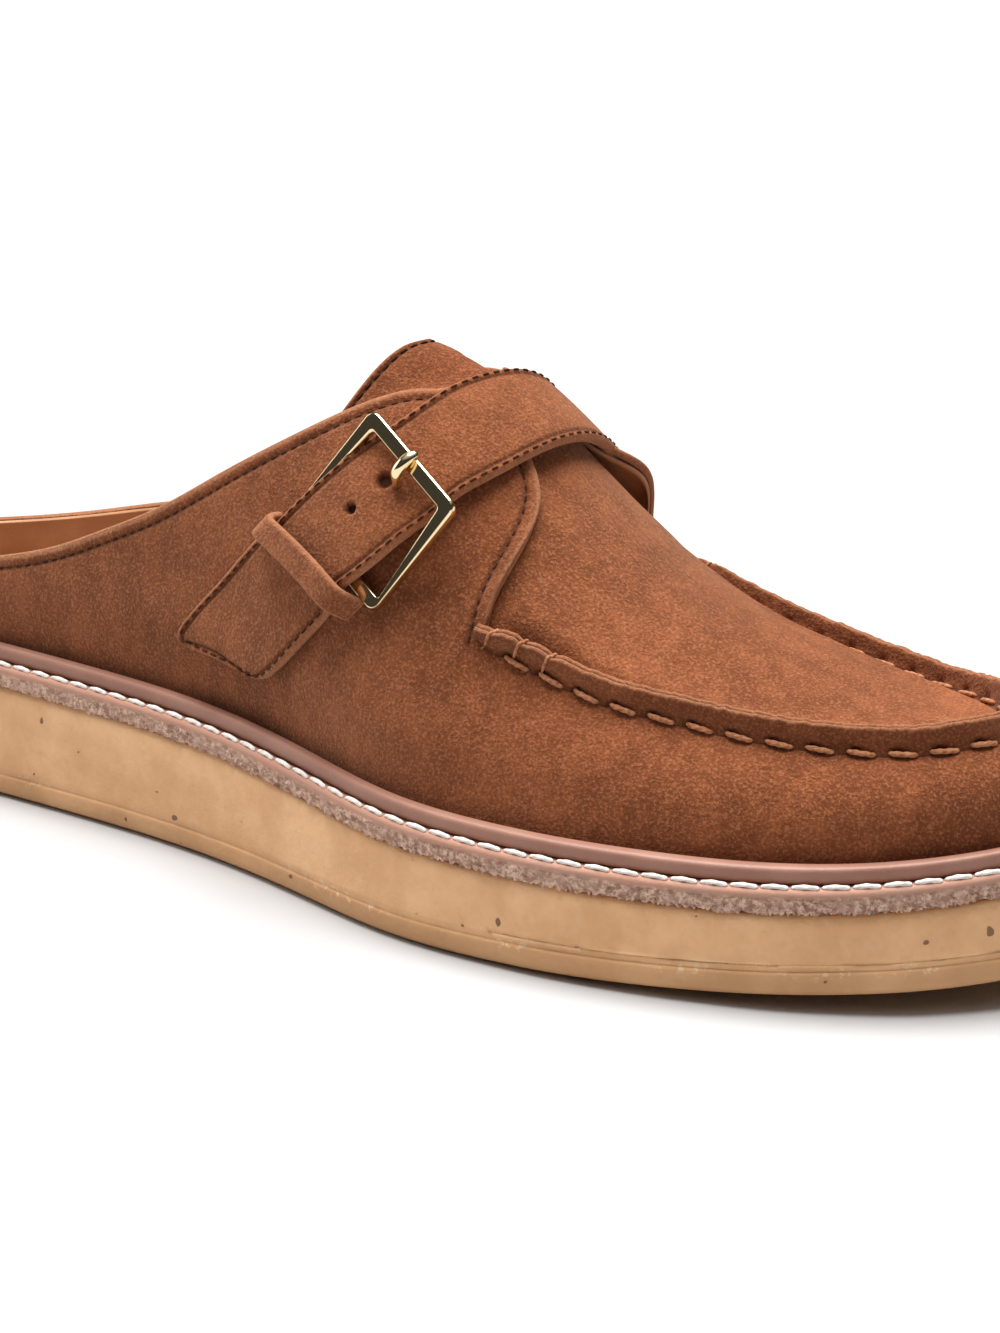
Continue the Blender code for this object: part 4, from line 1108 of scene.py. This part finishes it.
# distance of a seam from the band's edge
SEAM_INSET = 0.0017


def opening_half(x, side, depth):
    """Half width of the gap between the quarters: the collar's, or the slot's further on."""
    inset = FEATHER_INSET + depth
    share = share_along(x, inset)
    power = np.where(side < 0, lateral_power(share), medial_power(share))
    level = np.clip(collar_rise(np.clip(x / LENGTH, 0.0, 1.0)) / crest(share, depth), 0.0, 1.0)
    return np.maximum(half_width(share, side, inset) * np.sqrt(1.0 - level ** power), SLOT_HALF)


def skin_height(x, y, depth):
    """Height of the last over a point of the plan, drawn in by depth."""
    share = share_along(x, FEATHER_INSET + depth)
    off = y - centre_line(share)
    power = np.where(off < 0, lateral_power(share), medial_power(share))
    level = np.clip(1.0 - (off / half_width(share, off, FEATHER_INSET + depth)) ** 2, 0.0, 1.0)
    return feather(x) + crest(share, depth) * level ** (1.0 / power)


def edge_steps(count):
    """Shares from 0 to 1, close together at both ends: a quarter even, the rest a cosine."""
    even = np.linspace(0.0, 1.0, count)
    return 0.25 * even + 0.75 * (1.0 - np.cos(np.pi * even)) / 2.0


def edge_distance(points):
    """Distances over a grid to its nearest side edge, and to its nearest end."""
    aside = np.linalg.norm(np.diff(points, axis=1), axis=-1)
    aside = np.concatenate([np.zeros((len(points), 1)), np.cumsum(aside, 1)], 1)
    aside = np.minimum(aside, aside[:, -1:] - aside)
    along = np.linalg.norm(np.diff(points, axis=0), axis=-1)
    along = np.concatenate([np.zeros((1, points.shape[1])), np.cumsum(along, 0)], 0)
    return aside, np.minimum(along, along[-1:] - along), along


def leather_band(name, middle, out, thickness, material, shades=True, dent=0.0):
    """Band about a middle surface: half its thickness to each side, rounded off at all edges. Its
    face sinks a little along the seam and swells between seam and edge."""
    aside, along, _ = edge_distance(middle)
    edge = np.minimum(aside, along)
    soft = thickness * 0.5
    half = thickness / 2.0 * quarter_round(aside / soft) * quarter_round(along / soft)
    groove = np.exp(-((edge - SEAM_INSET) / 0.0004) ** 2)
    relief = 0.00016 * np.exp(-((edge - SEAM_INSET * 0.5) / 0.0006) ** 2) - 0.00030 * groove
    face = middle + out * (half + relief * shades - thickness * 0.55 * dent)[..., None]
    back_face = middle - out * half[..., None]
    # painted shade in the seam's groove and in the dents of the punched holes
    painted_shade = np.maximum(groove * 0.55 * shades, dent)
    raw = np.exp(-(edge / 0.0006) ** 2) * 0.6
    grids = np.stack([face, back_face[:, ::-1]])
    shade = {"painted_shade": np.stack([painted_shade, 0.0 * painted_shade]), "raw_edge": np.stack([raw, raw[:, ::-1]])}
    return surface(name, grids, material, (False, False), shade), face


walk = edge_steps(90)[:, None]
span = (edge_steps(121) * 2.0 - 1.0)[None, :]
tongue_rear = (TONGUE_END - TONGUE_DRAW * np.abs(span) ** 1.5) * LENGTH
tongue_x = tongue_rear + (SLOT_FRONT * LENGTH - CLEAR - tongue_rear) * walk
tongue_side = np.sign(span) + 0.0 * tongue_x
sunk = WALL + 3.0 * CLEAR
lining_half = half_width(tongue_x / LENGTH, tongue_side, FEATHER_INSET + sunk + TONGUE_THICKNESS)
tongue_half = np.minimum(opening_half(tongue_x, tongue_side, 0.0) + TONGUE_TUCK, lining_half * 0.93)
tongue_y = centre_line(tongue_x / LENGTH) + tongue_half * span
off_centre = np.abs(tongue_y - centre_line(tongue_x / LENGTH))
inside = opening_half(tongue_x, tongue_side, WALL) - 4.0 * CLEAR - off_centre
free = 1.0 - ease((tongue_x - TONGUE_END * LENGTH) / (0.055 * LENGTH))
depth = sunk - (sunk - APRON_DROP + (APRON_DROP + TONGUE_LIFT) * free) * ease(inside / TONGUE_FALL)
tongue_z = skin_height(tongue_x, tongue_y, depth + TONGUE_THICKNESS / 2.0)
tongue_mid = np.stack([tongue_x, tongue_y, tongue_z], -1)
tongue_out = grid_normals(tongue_mid)
tongue_out *= np.sign(tongue_out[..., 2:3])
tongue, tongue_face = leather_band(
    "tongue_tab", tongue_mid, tongue_out, TONGUE_THICKNESS, wall_suede.material)
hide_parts("tongue")
from_free = edge_distance(tongue_face)[2]
rows = np.arange(len(from_free))
low = np.array([np.interp(0.0024, column, rows) for column in from_free.T]).astype(int)
path = tongue_face[low, np.arange(len(low))][6:-6]
lift = tongue_out[low, np.arange(len(low))][6:-6]
row = stitch_row(path, lift, DARK_PITCH, 0.0017, 0.00026, 0.0001, steps=7, sides=6)
surface("tongue_stitches", row, dark_thread.material, (False, True), None)


# Strap: two layers of suede sewn along both edges, from the medial quarter over the instep, under
# the buckle's front bar and into the keeper.
STRAP_THICKNESS = 0.0022
TAB_THICKNESS = 0.0015
# rear along, rear girth, front along, front girth, lift over the tab
STRAP = (
    (0.475, -0.683, 0.537, -0.712, 1.45),
    (0.498, -0.590, 0.560, -0.615, 1.45),
    (0.517, -0.505, 0.575, -0.533, 1.25),
    (0.535, -0.410, 0.588, -0.453, 0.8),
    (0.550, -0.319, 0.599, -0.367, 0.5),
    (0.561, -0.210, 0.612, -0.268, 0.2),
    (0.572, -0.090, 0.622, -0.150, 0.0),
    (0.580, 0.035, 0.628, -0.020, 0.0),
    (0.583, 0.170, 0.630, 0.115, 0.0),
    (0.581, 0.310, 0.628, 0.255, 0.0),
    (0.574, 0.450, 0.620, 0.400, 0.0),
    (0.563, 0.590, 0.606, 0.545, 0.0),
)
strap_suede = suede("strap_suede", (0.165, 0.045, 0.015), (0.325, 0.100, 0.037), (0.550, 0.215, 0.098))


def band_grid(table, rows, columns, low, corner=0.0):
    """Grid of a band's middle surface on the last, between its two edges, its first end's corners
    rounded in the plan, with outward normals."""
    steps = tuple((float(i),) + tuple(row) for i, row in enumerate(table))
    at = edge_steps(rows) * (len(table) - 1.0)
    rear_x, rear_girth, front_x, front_girth = [spline(steps, 0, k)(at)[:, None] for k in range(1, 5)]
    share = edge_steps(columns)[None]
    width = np.linalg.norm(skin(rear_x * LENGTH, rear_girth) - skin(front_x * LENGTH, front_girth), axis=-1)
    middle = skin((rear_x + front_x) / 2.0 * LENGTH, (rear_girth + front_girth) / 2.0)[:, 0]
    if corner:
        cut = corner * (1.0 - quarter_round(along_rows(middle)[:, None] / corner))
        share = 0.5 + (share - 0.5) * (1.0 - 2.0 * cut / width)
    x = (rear_x + (front_x - rear_x) * share) * LENGTH
    girth = rear_girth + (front_girth - rear_girth) * share
    low = low(at)[:, None] + 0.0 * x
    points = above_skin(x, girth, low)
    out = grid_normals(points)
    return points, out * np.sign((out * skin_normal(x, girth)).sum(-1, keepdims=True))


def band_stitches(path, lift):
    """Short dark stitches along a path on a band."""
    return stitch_row(path, lift, DARK_PITCH, DARK_LENGTH, 0.00023, 0.00008, steps=7, sides=6)


def band_seam(face, out, inset, stop_ends):
    """Dark stitches at a distance from both long edges of a band, short of its ends."""
    aside = np.linalg.norm(np.diff(face, axis=1), axis=-1)
    aside = np.concatenate([np.zeros((len(face), 1)), np.cumsum(aside, 1)], 1)
    rows = []
    for distance in (inset, -inset):
        goal = distance if distance > 0 else aside[:, -1] + distance
        goals = np.broadcast_to(goal, len(aside))
        column = np.array([np.interp(g, row, np.arange(len(row))) for g, row in zip(goals, aside)])
        low = np.clip(column.astype(int), 0, face.shape[1] - 2)
        part = (column - low)[:, None]
        index = np.arange(len(face))
        path = face[index, low] * (1 - part) + face[index, low + 1] * part
        run = along_rows(path)
        keep = (run > stop_ends[0]) & (run < run[-1] - stop_ends[1])
        lift = out[index, low][keep]
        rows.append(band_stitches(path[keep] - lift * 0.00006, lift))
    return rows


def strap_low(at):
    """Underside of the strap over the last, lifted by the tab below it."""
    steps = tuple((float(i), row[4]) for i, row in enumerate(STRAP))
    return CLEAR + spline(steps, 0, 1)(at) * (TAB_THICKNESS + CLEAR)


strap_mid, strap_out = band_grid(STRAP, 240, 90, lambda at: strap_low(at) + STRAP_THICKNESS / 2.0)
# punched holes: place by the table's steps, place across, radius
STRAP_HOLES = ((1.62, 0.50, 0.00100), (2.62, 0.47, 0.00145))
strap_at = edge_steps(240) * (len(STRAP) - 1.0)
# the punched holes: pressed into the face and filled with painted shade
punched_holes = np.zeros(strap_mid.shape[:2])
for step, side, radius in STRAP_HOLES:
    row, column = np.argmin(np.abs(strap_at - step)), np.argmin(np.abs(edge_steps(90) - side))
    away = np.linalg.norm(strap_mid - strap_mid[row, column], axis=-1)
    punched_holes = np.maximum(punched_holes, 1.0 - ease((away - radius * 0.75) / (radius * 0.45)))
strap_band, strap_face = leather_band(
    "strap_band", strap_mid, strap_out, STRAP_THICKNESS, strap_suede.material, dent=punched_holes)
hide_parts("strap")
rows = band_seam(strap_face, strap_out, SEAM_INSET, (0.002, 0.002))
surface("strap_stitches", np.concatenate(rows), dark_thread.material, (False, True), None)


# Anchor tab: one layer of suede sewn flat on the lateral quarter all round, with rounded corners.
# It holds the keeper and the buckle's hinge bar.
TAB_CORNER = 0.0035
# rear along, rear girth, front along, front girth
TAB = (
    (0.387, -0.912, 0.474, -0.921),
    (0.409, -0.852, 0.494, -0.876),
    (0.431, -0.790, 0.511, -0.820),
    (0.452, -0.722, 0.527, -0.757),
    (0.472, -0.650, 0.539, -0.688),
)
tab_mid, tab_out = band_grid(TAB, 130, 90, lambda at: 0.0 * at + CLEAR + TAB_THICKNESS / 2.0, TAB_CORNER)
tab, tab_face = leather_band("anchor_tab", tab_mid, tab_out, TAB_THICKNESS, strap_suede.material)
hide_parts("buckle_tab")
rows = band_seam(tab_face, tab_out, SEAM_INSET, (0.0034, 0.0))
run = along_rows(tab_face[:, tab_face.shape[1] // 2])
level_row = int(np.argmin(np.abs(run - SEAM_INSET)))
end_path = tab_face[level_row]
gone = along_rows(end_path)
keep = (gone > 0.0024) & (gone < gone[-1] - 0.0024)
rows.append(band_stitches(end_path[keep], tab_out[level_row][keep]))
surface("tab_stitches", np.concatenate(rows), dark_thread.material, (False, True), None)


# Keeper: a narrow suede loop over the strap's end. It comes out of the seam at one side of the
# strap, lies over it and goes back in at the other.
KEEPER_WIDTH = 0.0054
KEEPER_THICKNESS = 0.0015
KEEPER_AT = 0.14
BUCKLE_AT = 2.10


def strap_columns(step):
    """Rear along, rear girth, front along and front girth of the strap at a step of its table."""
    steps = tuple((float(i),) + tuple(row) for i, row in enumerate(STRAP))
    return [spline(steps, 0, k)(np.asarray(step, float)) for k in range(1, 5)]


def strap_frame(step):
    """Middle of the strap at a step of its table, and the directions along, across and out."""
    rear_x, rear_girth, front_x, front_girth = strap_columns([step - 0.1, step, step + 0.1])
    middle = skin((rear_x + front_x) / 2.0 * LENGTH, (rear_girth + front_girth) / 2.0)
    rear = skin(rear_x[1] * LENGTH, rear_girth[1])
    front = skin(front_x[1] * LENGTH, front_girth[1])
    along = unit(middle[2] - middle[0])
    out = unit(np.cross(front - rear, along))
    return middle[1], along, np.cross(along, out), out


def strap_top(lift):
    """Height of the strap's top over the last, lifted by a share of the tab."""
    return CLEAR + lift * (TAB_THICKNESS + CLEAR) + STRAP_THICKNESS


keeper_low = strap_top(STRAP[0][4]) + 1.5 * CLEAR
keeper_mid = keeper_low + KEEPER_THICKNESS / 2.0
# place across the strap, 0 at its rear edge and 1 at its front edge, and height of its middle
BRIDGE = (
    (-0.150, 0.0011),
    (-0.135, keeper_mid * 0.42),
    (-0.065, keeper_mid * 0.85),
    (0.060, keeper_mid * 1.00),
    (0.280, keeper_mid * 1.02),
    (0.500, keeper_mid * 1.03),
    (0.720, keeper_mid * 1.02),
    (0.940, keeper_mid * 1.00),
    (1.065, keeper_mid * 0.85),
    (1.135, keeper_mid * 0.42),
    (1.150, 0.0011),
)
steps = tuple((float(i), a, h) for i, (a, h) in enumerate(BRIDGE))
at = np.linspace(0.0, len(BRIDGE) - 1.0, 110)
over, level = spline(steps, 0, 1)(at), spline(steps, 0, 2)(at)
rear_x, rear_girth, front_x, front_girth = [float(value) for value in strap_columns(KEEPER_AT)]
x = (rear_x + (front_x - rear_x) * over) * LENGTH
girth = rear_girth + (front_girth - rear_girth) * over
along = strap_frame(KEEPER_AT)[1]
spine = above_skin(x, girth, level)
across = (edge_steps(30) - 0.5) * KEEPER_WIDTH
keeper_points = spine[:, None] + along * across[None, :, None]
keeper_out = grid_normals(keeper_points)
keeper_out *= np.sign((keeper_out * skin_normal(x, girth)[:, None]).sum(-1).mean())
keeper_suede = suede("keeper_suede", (0.180, 0.050, 0.018), (0.340, 0.112, 0.044), (0.560, 0.225, 0.108))
keeper_loop, _ = leather_band(
    "keeper_loop", keeper_points, keeper_out, KEEPER_THICKNESS, keeper_suede.material, shades=False)
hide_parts("keeper")


# Buckle: a flat cast frame, plated pale gold and polished, with broken edges. Its front bar is
# wide, and its side bars narrow towards the hinge.
FRAME_ACROSS = 0.0260
FRAME_ALONG = 0.0245
FRAME_BAR = 0.0029
HINGE_BAR = 0.0009
FRAME_TURN = np.radians(-4.4)
FRAME_SHIFT = (-0.0010, 0.0021)
FRAME_THICKNESS = 0.0018
HINGE_DIP = 0.0007
FRAME_CORNER = 0.0022
gold = Finish("pale_gold", Roughness=0.10, Metallic=1.0)
gold.colour((0.86, 0.70, 0.42))


def buckle_place(along_by, across_by, height):
    """Points by the buckle's own directions, from the last under its middle."""
    middle, ahead, aside, out = strap_frame(BUCKLE_AT)
    middle = middle + ahead * FRAME_SHIFT[0] + aside * FRAME_SHIFT[1]
    along = ahead * np.cos(FRAME_TURN) + aside * np.sin(FRAME_TURN)
    across = aside * np.cos(FRAME_TURN) - ahead * np.sin(FRAME_TURN)
    return (middle + along * np.asarray(along_by)[..., None] + across * np.asarray(across_by)[..., None]
            + out * np.asarray(height)[..., None])


def frame_height(along_by):
    """Height of the frame's middle plane, tilted from the hinge under the strap to the bar above it."""
    hinge = CLEAR + FRAME_THICKNESS / 2.0 - HINGE_DIP
    front = strap_top(STRAP[3][4]) + 3.5 * CLEAR
    reach = (FRAME_ALONG - FRAME_BAR) / 2.0
    return hinge + (front - hinge) * (along_by + reach) / (2.0 * reach)


def rounded_rectangle(half_along, half_across, radius, steps):
    """Points round a rectangle with round corners."""
    turn = np.linspace(0.0, np.pi / 2.0, steps + 1)
    corners = []
    for k, (u, v) in enumerate(((1, 1), (-1, 1), (-1, -1), (1, -1))):
        bend = turn + k * np.pi / 2.0
        corners.append(np.column_stack([u * (half_along - radius) + radius * np.cos(bend),
                                        v * (half_across - radius) + radius * np.sin(bend)]))
    return np.concatenate(corners)


# the bar's section: how far it is drawn in from the outer edge, height as a share of half its thickness
BAR_SECTION = (
    (0.0, -0.8),
    (0.0, -0.2),
    (0.0, 0.50),
    (0.00004, 0.62),
    (0.00030, 0.96),
    (0.00036, 1.0),
    (0.00048, 1.0),
    (FRAME_BAR - 0.00048, 1.0),
    (FRAME_BAR - 0.00036, 1.0),
    (FRAME_BAR - 0.00030, 0.96),
    (FRAME_BAR - 0.00004, 0.62),
    (FRAME_BAR, 0.50),
    (FRAME_BAR, -0.2),
    (FRAME_BAR, -0.8),
    (FRAME_BAR - 0.0003, -1.0),
    (0.0003, -1.0),
)
loops = []
for inset, level in BAR_SECTION:
    radius = max(FRAME_CORNER - inset, FRAME_CORNER * 0.35)
    shape = rounded_rectangle(FRAME_ALONG / 2.0 - inset, FRAME_ACROSS / 2.0 - inset, radius, 14)
    to_hinge = (FRAME_ALONG / 2.0 - FRAME_BAR - shape[:, 0]) / (FRAME_ALONG - 2.0 * FRAME_BAR)
    to_hinge = np.clip(to_hinge, 0.0, 1.0)
    shape[:, 1] += np.sign(shape[:, 1]) * (FRAME_BAR - HINGE_BAR) * to_hinge * inset / FRAME_BAR
    height = frame_height(shape[:, 0]) + level * FRAME_THICKNESS / 2.0
    loops.append(buckle_place(shape[:, 0], shape[:, 1], height))
frame_loop = surface("frame_loop", loops, gold.material, (True, True), None)
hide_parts("buckle_frame")


# Prong: the pin that holds the strap. It comes up through its slot and curls over the front bar.
PRONG_WIDTH = 0.0021
PRONG_THICKNESS = 0.0015
reach = FRAME_ALONG / 2.0
low_line = CLEAR * 2.0 + 0.00065
rest_line = frame_height(reach - FRAME_BAR / 2.0) + FRAME_THICKNESS / 2.0 + PRONG_THICKNESS / 2.0
# place along the buckle, height of the pin's middle, share of its thickness
PRONG = (
    (-reach + FRAME_BAR + 2.0 * CLEAR, low_line * 0.6, 1.0),
    (reach * 0.15, low_line * 0.9, 1.0),
    (reach * 0.36, low_line * 1.1, 1.0),
    (reach * 0.50, (low_line + rest_line) * 0.46, 1.0),
    (reach * 0.62, rest_line * 0.90, 1.05),
    (reach * 0.78, rest_line + 0.0003, 1.05),
    (reach * 0.95, rest_line + 0.0001, 0.95),
    (reach * 1.07, rest_line - 0.0008, 0.70),
)
steps = tuple((float(i), a, h, s) for i, (a, h, s) in enumerate(PRONG))
at = np.linspace(0.0, len(PRONG) - 1.0, 90)
place, height, size = [spline(steps, 0, k)(at) for k in (1, 2, 3)]
size = size * np.sqrt(np.clip(1.0 - np.clip((at - at[-1] + 0.55) / 0.55, 0.0, 1.0) ** 2, 0.0, 1.0))
ahead = unit(np.gradient(np.column_stack([place, height]), axis=0))
turn = np.linspace(0.0, 2.0 * np.pi, 24, endpoint=False)
side = np.cos(turn)[None] * PRONG_WIDTH / 2.0 * size[:, None]
up = np.sin(turn)[None] * PRONG_THICKNESS / 2.0 * size[:, None]
rings = buckle_place(place[:, None] - ahead[:, 1:] * up, side, height[:, None] + ahead[:, :1] * up)
rings = np.concatenate([rings[:1].mean(1, keepdims=True) + 0.0 * rings[:1], rings])
pin = surface("pin", rings, gold.material, (False, True), None)
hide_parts("buckle_prong")


# Floor, light and camera: a plain pale floor, a large soft light overhead, and the camera low on
# the lateral side, level with the toe.
FLOOR_REACH = 8.0
corners = [(u * FLOOR_REACH, v * FLOOR_REACH, 0.0) for u, v in ((-1, -1), (1, -1), (1, 1), (-1, 1))]
floor_mesh = bpy.data.meshes.new("floor")
floor_mesh.from_pydata(corners, [], [(0, 1, 2, 3)])
pale = Finish("pale_floor", Roughness=0.9)
pale.colour((0.52, 0.52, 0.52))
floor_mesh.materials.append(pale.material)
floor = bpy.data.objects.new("floor", floor_mesh)
bpy.context.scene.collection.objects.link(floor)
floor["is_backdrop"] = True

# the room: dim round the horizon, brighter overhead
world = bpy.data.worlds.new("studio")
world.use_nodes = True
bpy.context.scene.world = world
room = world.node_tree
direction = room.nodes.new("ShaderNodeTexCoord")
parts = room.nodes.new("ShaderNodeSeparateXYZ")
ramp = room.nodes.new("ShaderNodeMapRange")
ramp.inputs["From Min"].default_value = 0.62
ramp.inputs["From Max"].default_value = 1.0
ramp.inputs["To Min"].default_value = 0.05
ramp.inputs["To Max"].default_value = 0.9
room.links.new(direction.outputs["Generated"], parts.inputs[0])
room.links.new(parts.outputs["Z"], ramp.inputs["Value"])
room.links.new(ramp.outputs[0], room.nodes["Background"].inputs["Strength"])
room.nodes["Background"].inputs["Color"].default_value = (1.0, 1.0, 1.0, 1.0)


def wide_light(name, toward, power, spread):
    """Far soft light from a direction, as wide as spread in degrees."""
    lamp = bpy.data.lights.new(name, "SUN")
    lamp.energy = power
    lamp.angle = np.radians(spread)
    light = bpy.data.objects.new(name, lamp)
    light.rotation_euler = Vector(toward).to_track_quat("Z", "Y").to_euler()
    bpy.context.scene.collection.objects.link(light)


wide_light("overhead", (-0.10, 0.10, 1.0), 5.8, 46.0)
wide_light("side", (-1.0, -0.25, 0.30), 0.75, 40.0)
bpy.context.scene.view_settings.view_transform = "Standard"

AZIMUTH = np.radians(32.8)
ELEVATION = np.radians(17.5)
ROLL = np.radians(0.7)
DISTANCE = 0.530
back = Vector((np.sin(AZIMUTH) * np.cos(ELEVATION), -np.cos(AZIMUTH) * np.cos(ELEVATION), np.sin(ELEVATION)))
level = Vector((np.cos(AZIMUTH), np.sin(AZIMUTH), 0.0))
rise = back.cross(level)
right = level * np.cos(ROLL) + rise * np.sin(ROLL)
upward = rise * np.cos(ROLL) - level * np.sin(ROLL)
aim = Vector((0.0, SHOE_PLACE[1], 0.030)) + right * 0.01736 + upward * 0.00189
camera_data = bpy.data.cameras.new("camera")
camera_data.lens = 75.86
camera_data.sensor_width = 36.0
camera = bpy.data.objects.new("camera", camera_data)
camera.matrix_world = Matrix((
    (right.x, upward.x, back.x, aim.x + back.x * DISTANCE),
    (right.y, upward.y, back.y, aim.y + back.y * DISTANCE),
    (right.z, upward.z, back.z, aim.z + back.z * DISTANCE),
    (0.0, 0.0, 0.0, 1.0),
))
bpy.context.scene.collection.objects.link(camera)
bpy.context.scene.camera = camera

low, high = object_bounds()
